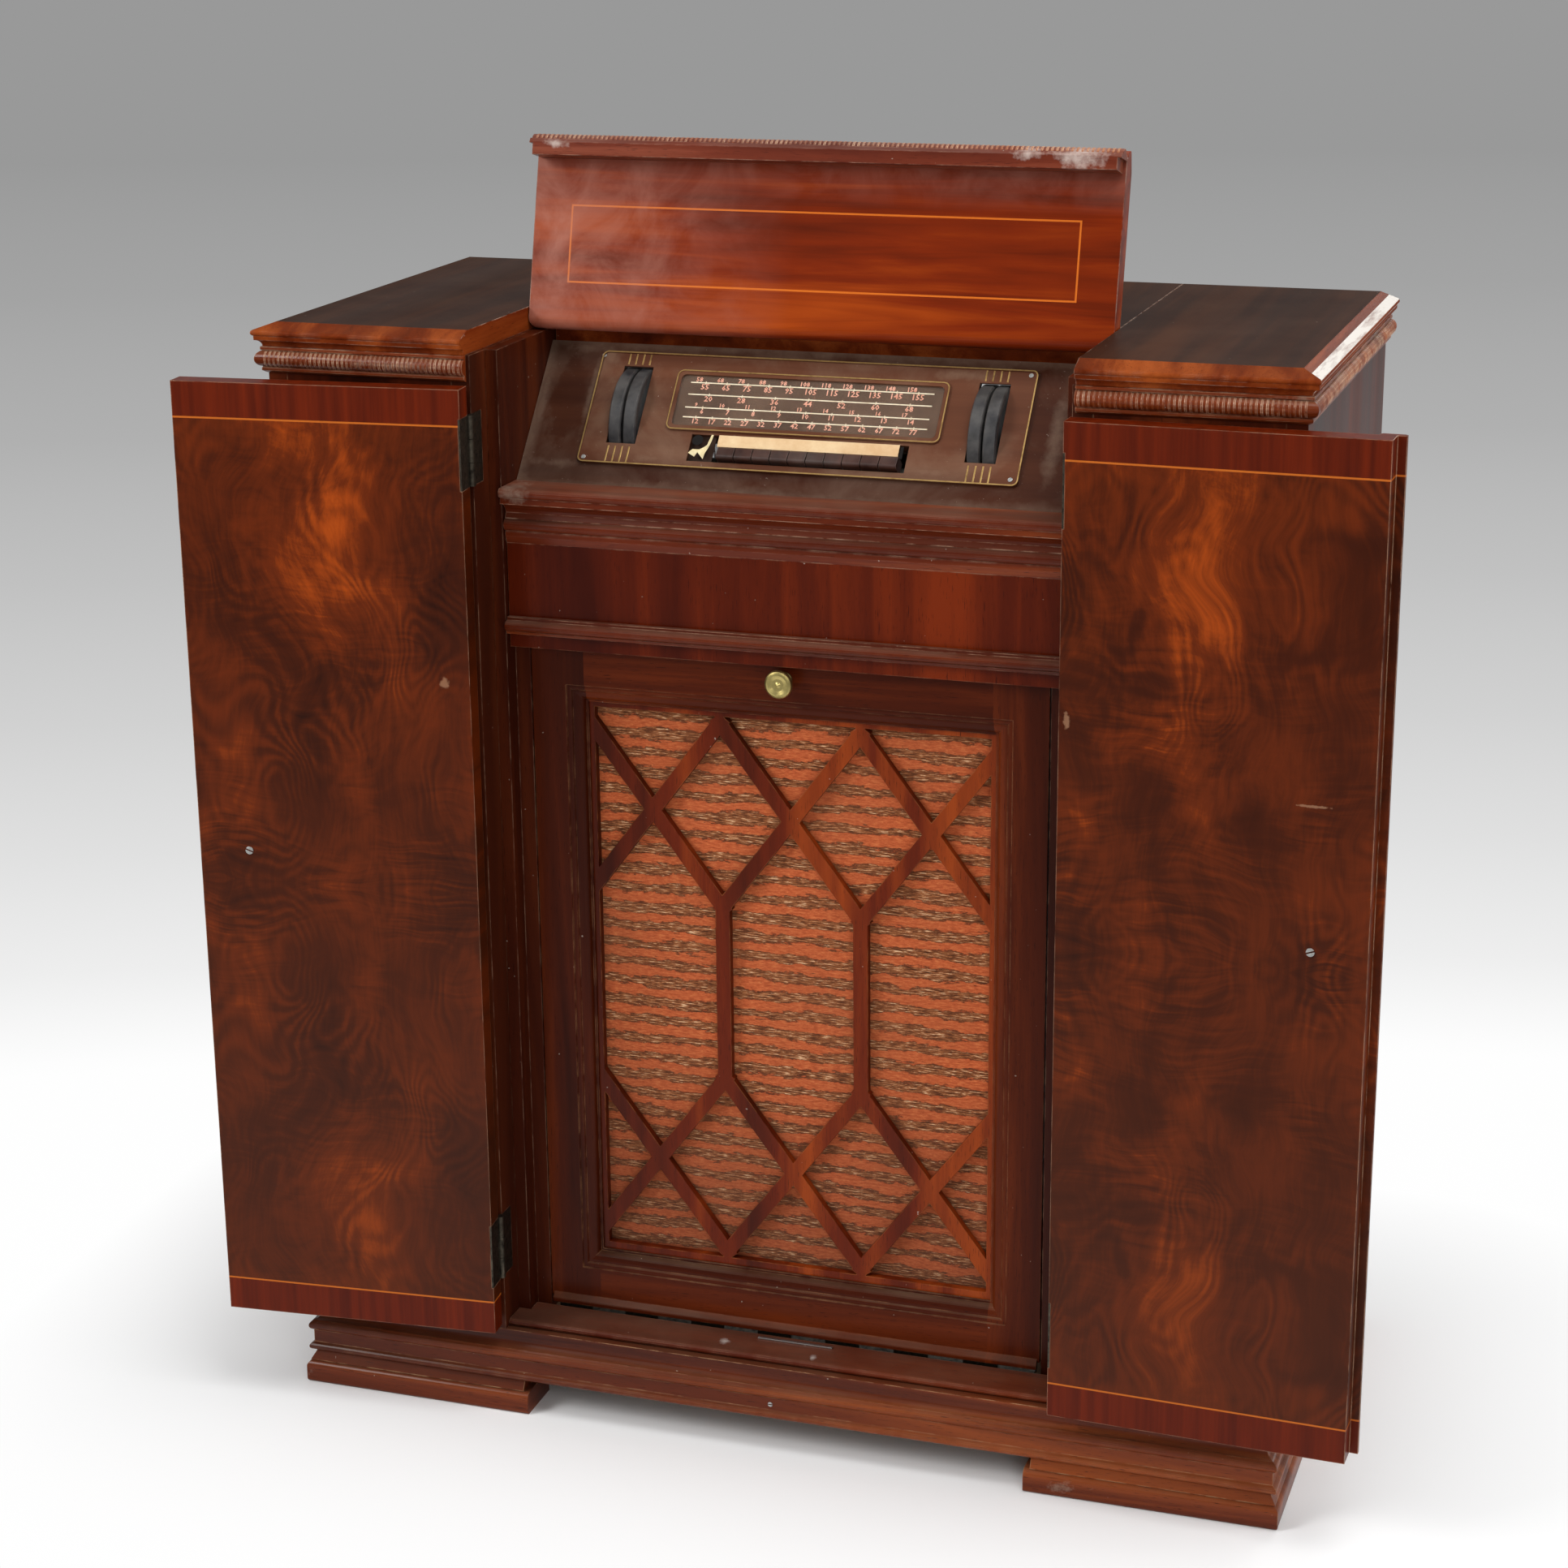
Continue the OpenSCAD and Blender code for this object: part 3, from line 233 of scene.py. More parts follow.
paper = bmesh.new()
bmesh.ops.create_circle(paper, cap_ends=True, radius=FLOOR_RADIUS, segments=64)
floor_mesh = bpy.data.meshes.new("floor")
paper.to_mesh(floor_mesh)
paper.free()
floor = bpy.data.objects.new("floor", floor_mesh)
bpy.context.scene.collection.objects.link(floor)
paint([floor], floor_paper())
print("floor", 2 * FLOOR_RADIUS, "m across, shadow kept within", SHADOW_REACH, "m")

# %% [markdown]
# Studio light: a large soft box to the left of the camera gives the form, a weaker one to
# its right opens the shadows, one from above whitens the floor, one on the right draws the
# cabinet's right side, and a small one behind, out of sight, glances off the right-hand
# bevel. The world stands for a dim white room; what mirrors see of it is the grey of the
# floor's far end, so that the two meet.

# %% Lights
ROOM_LIGHT, ROOM_SEEN = 0.27, 0.319


def soft_box(name, place, target, size, power):
    lamp = bpy.data.lights.new(name, "AREA")
    lamp.shape = "RECTANGLE"
    lamp.size, lamp.size_y = size
    lamp.energy = power
    aim = (Vector(target) - Vector(place)).to_track_quat("-Z", "Y").to_matrix().to_4x4()
    obj = bpy.data.objects.new(name, lamp)
    obj.matrix_world = Matrix.Translation(place) @ aim
    bpy.context.scene.collection.objects.link(obj)
    print(name, power, "W")


soft_box("key_box", (-2.5, -2.3, 2.6), (0, 0, 0.5), (1.4, 1.4), 74)
soft_box("front_box", (1.6, -3.2, 1.9), (0, 0, 0.5), (1.6, 1.6), 26)
soft_box("top_box", (0.9, -0.6, 3.4), (0, 0, 0.4), (2.0, 1.4), 50)
soft_box("side_box", (3.2, 0.3, 1.7), (0.4, 0, 0.6), (1.2, 1.6), 26)
soft_box("back_box", (1.0, 2.7, 2.15), (0.4, 0, 0.9), (1.1, 0.7), 16)

world = bpy.data.worlds.new("studio")
world.use_nodes = True
background = world.node_tree.nodes["Background"].inputs
add_to_room = partial(add_node, world.node_tree)
strength = add_to_room("MapRange", seen(add_to_room), 0.0, 1.0, ROOM_LIGHT, ROOM_SEEN)
world.node_tree.links.new(strength.outputs[0], background["Strength"])
background["Color"].default_value = linear("#ffffff")
bpy.context.scene.world = world

# %% [markdown]
# Marks of use need places of their own: a stain, a bloom or a patch of dust sits where it
# sits. Each is an ellipsoid around a point, given in metres, with a soft edge that a
# pattern makes ragged. Edges wear where hands and cloths rub; the Bevel node finds them,
# because its normal differs from the true one only there. Dust lies on what faces up.

# %% Stains, worn edges and dust
def spots(add, place, where, ragged=30, soft=0.55):
    """1 inside any of the ellipsoids (centre, radii), fading raggedly to 0 outside."""
    rough = mottle(add, place, ragged, 6, 0.65, span=(0.3, 0.7, -0.45, 0.45))
    best = None
    for centre, radii in where:
        offset = add("VectorMath SUBTRACT", place, centre)
        offset = add("VectorMath DIVIDE", offset, radii)
        away = add("Math ADD", add("VectorMath LENGTH", offset), rough)
        inside = add("MapRange", away, 1.0, 1.0 - soft)
        best = inside if best is None else add("Math MAXIMUM", best, inside)
    return best


def worn_edge(add, place, radius, patches=60, start=0.42, end=0.62):
    """The normal with rounded edges, and 1 where such an edge is rubbed, 0 on the flat."""
    round_normal = add("Bevel", radius, samples=6)
    true_normal = add("NewGeometry").outputs["True Normal"]
    alike = add("VectorMath DOT_PRODUCT", round_normal, true_normal)
    rubbed = mottle(add, place, patches, span=(start, end))
    return round_normal, together(add, add("MapRange", alike, 0.995, 0.86), rubbed)


def upward(add, low=0.3, high=0.95):
    """1 on what faces up: where dust settles, and where level tops take painted shade."""
    normal = add("NewGeometry").outputs["Normal"]
    return add("MapRange", add("SeparateXYZ", normal).outputs["Z"], low, high)

# %% [markdown]
# Most of what shows is walnut under cellulose lacquer. Straight-grained walnut is long
# streaks of brown: a mottled pattern stretched along the grain. Pores are the same pattern
# again, much finer, as short dark dashes. The lacquer is a thin clear coat over a rougher
# wood, and at the edges it wears lighter.

# %% Lacquered walnut
ALONG = {"X": (0.055, 1, 1), "Y": (1, 0.055, 1), "Z": (1, 1, 0.055)}
# the darker colours of faces that look straight up: painted shade
SHADED_TOP_COLOURS = ("#1a0b06", "#2a150c", "#422414")
BEVEL_LEAN, BEVEL_X = (0.52, 0.4), 0.418


def walnut(name, colours, grain="Z", wear="#9a6a4c", worn=0.6, roughness=0.34, coat=0.05, ior=1.5, dust=None,
           dusted=0.5, level=None, stiles=None, marks=(), mark_colour="#a08d7c", painted_reflection=None):
    """Straight-grained walnut. stiles: beyond this distance from the middle the grain stands upright.
    level: three other, darker colours where the face looks straight up, painted shade on level tops. marks:
    places of pale stains.
    gleam: the colour of a pale band along the right-hand bevel, a painted reflection of a bright light."""
    material, add, place = new_tree(name)
    at_grain = add("Mapping", place, named={"Scale": ALONG[grain]})
    if stiles:
        side = add("Math ABSOLUTE", add("SeparateXYZ", place).outputs["X"])
        upright = add("Mapping", place, named={"Scale": ALONG["Z"]})
        beyond = add("Math GREATER_THAN", side, stiles)
        at_grain = add("Mix", beyond, at_grain, upright, data_type="VECTOR")
    streaks = mottle(add, at_grain, 34, 6, 0.62, 0.5)
    clouds = mottle(add, at_grain, 9, 2)
    tone = add("MapRange", add("Math ADD", streaks, clouds), 0.7, 1.3)
    colour = three_tones(add, tone, colours)
    # painted shade: faces that look straight up take darker colours than the rest of the board
    if level:
        colour = over(add, colour, three_tones(add, tone, level), upward(add, 0.965, 0.985))
    # pores are about 0.3 mm wide and some millimetres long
    pore = mottle(add, at_grain, 1500, 2, span=(0.62, 0.72))
    colour = over(add, colour, colours[0], pore)
    normal, rubbed = worn_edge(add, place, 1.3 * MM)
    colour = over(add, colour, wear, rubbed, worn)
    if dust:
        some = mottle(add, place, 16, 6, span=(0.32, 0.72, 0.25, 1.0))
        colour = over(add, colour, dust, upward(add), some, dusted)
    if marks:
        colour = over(add, colour, mark_colour, spots(add, place, marks, 140, 0.9), 0.6)
    if painted_reflection:
        # a painted reflection: a pale band on the bevel where its normal leans to the right, on the right
        # tower only
        lean = add("SeparateXYZ", add("NewGeometry").outputs["Normal"]).outputs["X"]
        leans = add("Math COMPARE", lean, *BEVEL_LEAN)
        x = add("SeparateXYZ", place).outputs["X"]
        at_right = add("Math GREATER_THAN", x, BEVEL_X)
        patches = mottle(add, place, (90, 9, 90), 4, 0.7, span=(0.32, 0.5, 0.35, 0.95))
        colour = over(add, colour, painted_reflection, leans, at_right, patches)
    # a few white specks of old paint and plaster
    speck = mottle(add, place, 260, 1, span=(0.80, 0.82, 0.0, 0.5))
    colour = over(add, colour, "#b5a79a", speck)
    height = add("Math SUBTRACT", streaks, pore)
    satin = add("MapRange", clouds, 0.3, 0.7, roughness - 0.05, roughness + 0.1)
    finish_tree(add, colour, satin, 0.08, (0.12, 0.4 * MM, height, normal), (coat, 0.14, 1.48), ior)
    return material

# %% [markdown]
# The same recipe finishes every straight-grained piece. What changes is the direction of
# the grain, the brown, how pale the edges have worn, and the dust and stains: mouldings
# and the plinth catch the most of both, the uprights and the recess the least.

# %% The walnut pieces
dress(["cornices"], walnut(
    "lacquered walnut moulding", ("#4a1606", "#7c3412", "#b45e28"), "X", "#d0a684", 0.8, coat=0.3,
    dust="#9c7a62", dusted=0.3,
    marks=[((-0.30, -0.19, 0.905), (0.05, 0.02, 0.004)), ((0.415, -0.19, 0.914), (0.03, 0.02, 0.004))]))
dress(["base_moulding", "feet"], walnut(
    "lacquered walnut plinth, scuffed", ("#340f04", "#60260d", "#94481d"), "X", "#c0946c", 0.9, coat=0.25,
    dust="#80604a", dusted=0.3,
    marks=[((0.0, -0.165, 0.085), (0.012, 0.03, 0.004)), ((0.44, -0.2, 0.02), (0.02, 0.02, 0.012)),
           ((-0.44, -0.2, 0.012), (0.03, 0.02, 0.01)), ((0.25, -0.2, 0.01), (0.03, 0.02, 0.008))]))
dress(["left_side_panel", "right_side_panel", "tower_front_panels"], walnut(
    "lacquered walnut, upright grain", ("#240b04", "#431607", "#672a11")))
dress(["partitions"], walnut(
    "lacquered walnut partition", ("#2a0f07", "#3d170a", "#5c2812"), "Z", "#8a6a54", 0.8))
dress(["frieze"], walnut("lacquered walnut frieze", ("#380b01", "#521602", "#742604"), coat=0.1))
dress(["grille_frame"], walnut(
    "lacquered walnut frame, mitred", ("#2c0b02", "#481704", "#702c0b"), "X", "#9a6a48",
    stiles=172 * MM, dust="#7d6450", dusted=0.45))
dress(["grille_lattice"], walnut(
    "fretted walnut plywood", ("#3a1105", "#621f08", "#963f12"), "Z", "#a8683a", coat=0.08))
dress(["tower_tops", "rear_top"], walnut(
    "dark walnut top board", ("#3c1206", "#6c290c", "#a04e20"), "Y", "#b79a86", 0.9, 0.4, 0.0, 1.25,
    dust="#5d4434", dusted=0.2, level=SHADED_TOP_COLOURS, painted_reflection="#e2dcd4"))
dress(["cheeks"], walnut(
    "dark walnut side of the recess", ("#240a03", "#3c1407", "#5c260e"), "Z", "#8a6a54", 0.7))
dress(["nose_moulding"], walnut(
    "walnut moulding under the panel", ("#3e1004", "#66260e", "#9a4a20"), "X", "#c09a80", 0.9, coat=0.2,
    dust="#7c6050", marks=[((-0.22, -0.14, 0.80), (0.016, 0.03, 0.008))]))
dress(["strip_moulding"], walnut(
    "walnut bead under the frieze", ("#330e04", "#5a200a", "#8a3f18"), "X", "#b08a70", 0.8, coat=0.2,
    dust="#7c6050", dusted=0.45))
dress(["sill"], walnut(
    "walnut sill, dusty", ("#300f06", "#561e0c", "#843c1c"), "X", "#b08a70", 0.9, coat=0.2,
    dust="#7c6452", dusted=0.3, mark_colour="#c4bab2",
    marks=[((-0.05, -0.15, 0.08), (0.005, 0.006, 0.004)), ((0.03, -0.155, 0.08), (0.003, 0.006, 0.004))]))
print(sum("walnut" in material.name for material in bpy.data.materials), "kinds of walnut")

# %% [markdown]
# Plain boards: what never shows from the front was left raw. The same straight grain, but
# pale, dull and without a coat.

# %% Raw inner boards
def raw_board(name, dark, light, grain):
    material, add, place = new_tree(name)
    streaks = mottle(add, place, [40 * f for f in ALONG[grain]], 8)
    colour = add("ValToRGB", streaks, stops=[(0.3, dark), (0.7, light)])
    finish_tree(add, colour, 0.8, 0.3, (0.3, 0.5 * MM, streaks))
    return material


dress(["bottom_board", "chassis_shelf"], raw_board("raw poplar board", "#6b4a30", "#a07a52", "X"))
dress(["speaker_baffle", "speaker_cloth"], raw_board("raw birch plywood baffle", "#7a5a3a", "#a98a60", "Z"))
dress(["record_deck"], raw_board("stained deck board", "#2a170e", "#4a2c1a", "X"))

# %% [markdown]
# The doors carry the show veneer, cut from the fork of a tree: an orange flame climbs the
# middle, fibres loop around it in nested rings, and a fine cross ripple shimmers where
# the two leaves meet. The leaves are opened like a book, so the figure mirrors about the
# middle of the door: that is an absolute value of the height above the middle. A slow
# pattern bends the place before the next pattern reads it, which turns streaks into
# swirls, and the sine of a slow pattern draws the rings, as height lines do on a map.

# %% Figured door veneer
DOOR_LOW, DOOR_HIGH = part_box("left_door")[0].z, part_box("left_door")[1].z
BAND = 29 * MM
LINE = 1.5 * MM
DOOR_EDGE = (0.474, 0.478)
RING_STEEPNESS = 130.0


def veneer_figure(add, place, seed, flame_x, centre_z):
    """The tone of the figure, from about 0.2 to 0.9, and the cloud in it."""
    split = add("SeparateXYZ", place).outputs
    height = add("Math SUBTRACT", split["Z"], centre_z)
    folded = add("Math ABSOLUTE", height)
    sideways = add("Math SUBTRACT", split["X"], flame_x)
    leaf = add("CombineXYZ", sideways, seed, folded)
    # the slow bend of the fibres, some centimetres across
    bend = add("TexNoise", leaf, 8, 2).outputs["Color"]
    offset = add("VectorMath SUBTRACT", bend, (0.5, 0.5, 0.5))
    offset = add("VectorMath SCALE", offset, 0.085)
    bent = add("VectorMath ADD", leaf, offset)
    # nested rings, closest where the slow pattern is steep
    hills = mottle(add, bent, (13, 1, 6.5), 1.2)
    rings = add("Math SINE", together(add, hills, RING_STEEPNESS))
    ringed = together(add, rings, mottle(add, leaf, 11, 2, span=(0.4, 0.65)))
    # the flame: bright tongues within some 60 mm of the middle, stronger towards the ends
    sway = add("Math MULTIPLY_ADD", mottle(add, leaf, (0, 1, 7), 2), 0.16, -0.08)
    from_flame = add("Math ADD", sideways, sway)
    near = add("MapRange", add("Math ABSOLUTE", from_flame), 0.15, 0.0)
    tongues = mottle(add, bent, (26, 1, 13), 7, 0.72, 0.4, span=(0.36, 0.84))
    outwards = add("MapRange", folded, 0.02, 0.28, 0.5, 1.0)
    higher = add("MapRange", split["Z"], 0.15, 0.7, 0.6, 1.0)
    flame = together(add, near, tongues, outwards, higher)
    # cross ripple, a crest every 5 mm or so, strongest near the mirror line
    crests = add("Math SUBTRACT", mottle(add, bent, (22, 1, 230), 3, 0.5, 0.4), 0.5)
    middle = add("MapRange", folded, 0.30, 0.06, 0.25, 1.0)
    patches = mottle(add, bent, 12, 2, span=(0.38, 0.62))
    ripple = together(add, crests, together(add, middle, patches))
    cloud = mottle(add, bent, (9, 1, 5), 3)
    fibre = mottle(add, bent, (300, 1, 22), 4, 0.7)
    tone = together(add, cloud, 0.62)
    for part, weight in ((flame, 0.30), (ringed, 0.045), (ripple, 0.42), (fibre, 0.14)):
        tone = add("Math MULTIPLY_ADD", part, weight, tone)
    return tone, cloud


def figured_veneer(name, seed, flame_x, centre_z, marks):
    material, add, place = new_tree(name)
    tone, cloud = veneer_figure(add, place, seed, flame_x, centre_z)
    colour = add("ValToRGB", tone, stops=[(0.24, "#280b02"), (0.37, "#421603"), (0.50, "#642404"),
                                          (0.66, "#a04209"), (0.85, "#c8641a")])
    split = add("SeparateXYZ", place).outputs
    # a little darker and greyer, more so towards the bottom
    colour = over(add, colour, "#4a2614", add("MapRange", split["Z"], 0.75, 0.25, 0.0, 0.28))
    # straight bands beyond the stringing
    bands = add("ValToRGB", mottle(add, place, (140, 140, 5), 6), stops=[(0.3, "#4a1202"), (0.7, "#681e03")])
    height = add("Math SUBTRACT", split["Z"], (DOOR_LOW + DOOR_HIGH) / 2)
    away = add("Math ABSOLUTE", height)
    reach = (DOOR_HIGH - DOOR_LOW) / 2 - BAND
    colour = over(add, colour, bands, add("Math GREATER_THAN", away, reach))
    colour = over(add, colour, "#b8601f", add("Math COMPARE", away, reach, LINE / 2))
    normal, rubbed = worn_edge(add, place, 1.2 * MM, 40, 0.35, 0.55)
    side = add("Math ABSOLUTE", split["X"])
    # pale worn edges, made nearly continuous along the doors' outer edges: partly wear, partly a painted
    # highlight on the lit arris
    colour = over(add, colour, "#c49a7c", rubbed, add("MapRange", side, *DOOR_EDGE, 0.5, 0.95))
    colour = over(add, colour, "#a87c5e", spots(add, place, marks, 200, 0.4), 0.5)
    pores = mottle(add, place, [1300 * f for f in ALONG["Z"]], 2)
    satin = add("MapRange", cloud, 0.3, 0.7, 0.28, 0.4)
    finish_tree(add, colour, satin, 0.1, (0.1, 0.3 * MM, pores, normal), (0.06, 0.12, 1.48))
    return material


dress(["left_door"], figured_veneer(
    "book-matched walnut veneer, left", 3.1, -0.35, 0.476, [((-0.262, -0.2, 0.655), (0.004, 0.05, 0.006))]))
dress(["right_door"], figured_veneer(
    "book-matched walnut veneer, right", 3.4, 0.345, 0.484,
    [((0.248, -0.2, 0.665), (0.003, 0.05, 0.006)), ((0.437, -0.2, 0.616), (0.014, 0.05, 0.0012))]))
print("doors from", round(DOOR_LOW / MM), "to", round(DOOR_HIGH / MM), "mm")

# %% [markdown]
# The lid's underside is the brightest wood of the cabinet: straight walnut along the
# lid inside a rectangle of orange stringing. The lid leans back, so a Mapping node turns
# the coordinates into the lid's own plane before the rectangle is measured. A pale, milky
# patch over its left end is partly blooming of the lacquer and partly painted sheen, and
# the moulding along its edge is scuffed white on the right.

# %% Lid veneer
LID_TURN = math.radians(-104)
LID_AXIS = Vector((0, -34.52 * MM, 924.65 * MM))
LID_LINE_MIDDLE = -59.7 * MM
LID_LINE_HALF = (211.5 * MM, 30.9 * MM)


def lid_veneer():
    material, add, place = new_tree("lacquered walnut lid with stringing")
    # coordinates of the closed lid, measured from its axis
    flat = add("Mapping", place, named={"Location": LID_AXIS, "Rotation": (LID_TURN, 0, 0)},
               vector_type="TEXTURE")
    split = add("SeparateXYZ", flat).outputs
    streaks = mottle(add, flat, (2.2, 46, 46), 7, 0.6, 0.7)
    cloud = mottle(add, flat, (3, 14, 14), 3)
    tone = add("MapRange", add("Math ADD", streaks, cloud), 0.72, 1.28)
    colour = add("ValToRGB", tone, stops=[(0.0, "#4a1403"), (0.45, "#762404"), (1.0, "#a4430c")])
    # the line: on the rectangle's edge, not inside or outside it
    lengthwise = add("Math ABSOLUTE", split["X"])
    from_middle = add("Math ADD", split["Y"], -LID_LINE_MIDDLE)
    crosswise = add("Math ABSOLUTE", from_middle)
    past = [add("Math SUBTRACT", distance, half)
            for distance, half in zip((lengthwise, crosswise), LID_LINE_HALF)]
    line = add("Math COMPARE", add("Math MAXIMUM", *past), 0.0, LINE / 2)
    under = add("Math LESS_THAN", split["Z"], 0.0)
    colour = over(add, colour, "#cf6a22", line, under)
    # milky lacquer and painted sheen: strongest at the left end and along the edge near the moulding
    left = add("MapRange", split["X"], -0.02, -0.24)
    front = add("MapRange", split["Y"], -0.095, -0.13, 0.0, 0.6)
    mist = mottle(add, flat, 16, 7, 0.62, 0.8, span=(0.36, 0.7, 0.1, 0.75))
    bloom_and_sheen = together(add, add("Math MAXIMUM", left, front), mist)
    colour = over(add, colour, "#b47c6c", bloom_and_sheen)
    # the outside takes the same darker colours as the tower tops: painted shade
    outside = add("Math GREATER_THAN", split["Z"], 9 * MM)
    colour = over(add, colour, three_tones(add, tone, SHADED_TOP_COLOURS), outside)
    normal, rubbed = worn_edge(add, place, 1.5 * MM, 40)
    colour = over(add, colour, "#b8a494", rubbed, 0.8)
    dulled = add("MapRange", bloom_and_sheen, 0.0, 0.6, 0.32, 0.6)
    finish_tree(add, colour, dulled, 0.08, (0.1, 0.4 * MM, streaks, normal), (0.04, 0.18, 1.48))
    return material


dress(["lid"], lid_veneer())
dress(["lid_cornice"], walnut(
    "lacquered walnut lid moulding, scuffed", ("#40130a", "#682a18", "#945038"), "X", "#c8a088", 0.8,
    coat=0.2, dust="#8e7268", dusted=0.45, mark_colour="#cfc0b6",
    marks=[((0.212, -0.03, 1.065), (0.024, 0.03, 0.012)), ((-0.22, -0.03, 1.065), (0.012, 0.03, 0.004)),
           ((0.17, -0.03, 1.066), (0.012, 0.03, 0.006))]))

# %% [markdown]
# The control panel is walnut stained almost black-brown, dusty and stained by hands. The
# plate on it is sheet steel, lacquered brown, so it is nearly the same colour but
# smoother. Both take large soft clouds of grey dust, thickest along the panel's edges,
# and an arch of clean wood shows where something once leaned on the left. The
# panel slopes, so these marks are placed in its own plane too.

# %% Control panel
PANEL_SLOPE = math.radians(49.3)
PANEL_PLACE = Vector((0, -112.52 * MM, 803 * MM))
PANEL = Matrix.Translation(PANEL_PLACE) @ Matrix.Rotation(PANEL_SLOPE, 4, "X")


def dusty(name, dark, light, dust, roughness, coat, pale, dust_scale=9, edges=None, clean=()):
    """pale and clean: places with more dust and with none. edges: half the width, low and high end of
    the part of the panel that has no border of dust."""
    material, add, place = new_tree(name)
    # x across, y up the slope, z out of the face
    flat = add("Mapping", place, named={"Location": PANEL_PLACE, "Rotation": (PANEL_SLOPE, 0, 0)},
               vector_type="TEXTURE")
    grain = mottle(add, place, [34 * f for f in ALONG["X"]], 6)
    colour = add("ValToRGB", grain, stops=[(0.3, dark), (0.7, light)])
    film = mottle(add, place, dust_scale, 8, 0.6, 0.5, span=(0.45, 0.8, 0.0, 0.55))
    if edges:
        split = add("SeparateXYZ", flat).outputs
        half_wide, low, high = edges
        side = add("Math ABSOLUTE", split["X"])
        past = add("Math SUBTRACT", side, half_wide)
        for upper, lower in ((low, split["Y"]), (split["Y"], high)):
            beyond = add("Math SUBTRACT", upper, lower)
            past = add("Math MAXIMUM", past, beyond)
        ragged = mottle(add, flat, 60, 6, span=(0.3, 0.7, -0.004, 0.004))
        past = add("Math ADD", past, ragged)
        border = add("MapRange", past, -0.004, 0.008, 0.0, 0.42)
        film = add("Math MAXIMUM", film, border)
    film = add("Math MAXIMUM", film, together(add, spots(add, flat, pale, 60, 0.9), 0.4))
    if clean:
        film = together(add, film, add("MapRange", spots(add, flat, clean, 60, 0.3), 0.0, 1.0, 1.0, 0.1))
    colour = over(add, colour, dust, film)
    speck = mottle(add, place, 420, 2, span=(0.72, 0.78, 0.0, 0.5))
    colour = over(add, colour, "#a89c90", speck)
    dulled = add("MapRange", film, 0.0, 0.5, roughness, roughness + 0.25)
    finish_tree(add, colour, dulled, 0.1, (0.08, 0.3 * MM, film), (coat, 0.25))
    return material


dress(["control_panel"], dusty(
    "dusty black-brown walnut panel", "#321509", "#4a2615", "#7e6858", 0.42, 0.06,
    edges=(0.222, 0.006, 0.128),
    pale=[((-0.196, 0.128, 0), (0.03, 0.008, 0.02)), ((-0.2, 0.02, 0), (0.03, 0.006, 0.02)),
          ((0.205, 0.06, 0), (0.008, 0.05, 0.02)), ((-0.226, 0.07, 0), (0.006, 0.08, 0.02)),
          ((-0.186, 0.09, 0), (0.004, 0.05, 0.02))],
    clean=[((-0.206, 0.075, 0), (0.014, 0.05, 0.02))]))
dress(["escutcheon"], dusty(
    "brown lacquered steel plate", "#4c2a1c", "#683f2b", "#8a6f5a", 0.34, 0.1, dust_scale=14,
    pale=[((-0.176, 0.12, 0), (0.012, 0.008, 0.02)), ((-0.12, 0.028, 0), (0.03, 0.006, 0.02)),
          ((0.12, 0.118, 0), (0.03, 0.006, 0.02)), ((0.10, 0.03, 0), (0.05, 0.005, 0.02))]))

# %% [markdown]
# Metals. The knobs are brass that has gone olive-dull in its hollows and stays bright
# where fingers polish it; pins, irons and chassis are zinc-plated or bare steel, and the
# hinges are steel blackened with age. One recipe serves all: a metal whose colour
# and roughness wander, with darker tarnish in patches.

# %% Metals
def aged_metal(name, clean, tarnish, roughness, scale=45, amount=0.55):
    material, add, place = new_tree(name)
    dull = mottle(add, place, scale, 8, 0.65, span=(0.38, 0.68, 0.0, amount))
    satin = add("MapRange", dull, 0.0, amount, roughness, roughness + 0.25)
    relief = (0.1, 0.1 * MM, mottle(add, place, 900, 3))
    finish_tree(add, over(add, clean, tarnish, dull), satin, relief=relief, Metallic=1.0)
    return material


dress(["left_door_knob", "right_door_knob", "grille_knob"], aged_metal(
    "turned brass, tarnished", "#c2b070", "#57502f", 0.28, 120))
bright_brass = aged_metal("drawn brass line", "#c8a468", "#6e5230", 0.32, 90, 0.8)
dress(["cabinet_ironwork", "left_door_leaves", "right_door_leaves"], aged_metal(
    "blackened steel hinge", "#5a5348", "#1c1815", 0.4, 160, 0.9))
# painted shade: the tilt irons are coloured near-black because they lie in shadow in the gap under the tilt
# front
dress(["tilt_irons"], aged_metal("black steel in painted shade", "#2c2926", "#151210", 0.5, 90, 0.9))
dress(["lid_pivots", "levelling_links", "deck_motor"], aged_metal(
    "zinc-plated steel", "#a9a9a6", "#5e5b55", 0.38))
dress(["radio_chassis", "speaker"], aged_metal("cadmium-plated chassis steel", "#8c8a80", "#4a463a", 0.4, 20))
pin_steel = aged_metal("bright steel screw", "#c9c9c6", "#77716a", 0.3, 300)

# %% [markdown]
# Mouldings of early plastic: the wheels are black rubbery bakelite with a ribbed rim, the
# buttons warm brown. Moulded phenolic is glossy when new, and hands leave it satin.

# %% Bakelite
def bakelite(name, dark, light, roughness, dust=0.0):
    material, add, place = new_tree(name)
    cloud = mottle(add, place, 60, 6)
    colour = add("ValToRGB", cloud, stops=[(0.35, dark), (0.75, light)])
    normal, rubbed = worn_edge(add, place, 0.6 * MM, 150)
    colour = over(add, colour, "#7a6a5e", rubbed)
    film = mottle(add, place, 35, 7, span=(0.4, 0.75, 0.0, dust))
    colour = over(add, colour, "#7c7872", film)
    satin = add("MapRange", cloud, 0.3, 0.7, roughness, roughness + 0.18)
    finish_tree(add, colour, satin, 0.35, (0.06, 0.2 * MM, cloud, normal), ior=1.55)
    return material


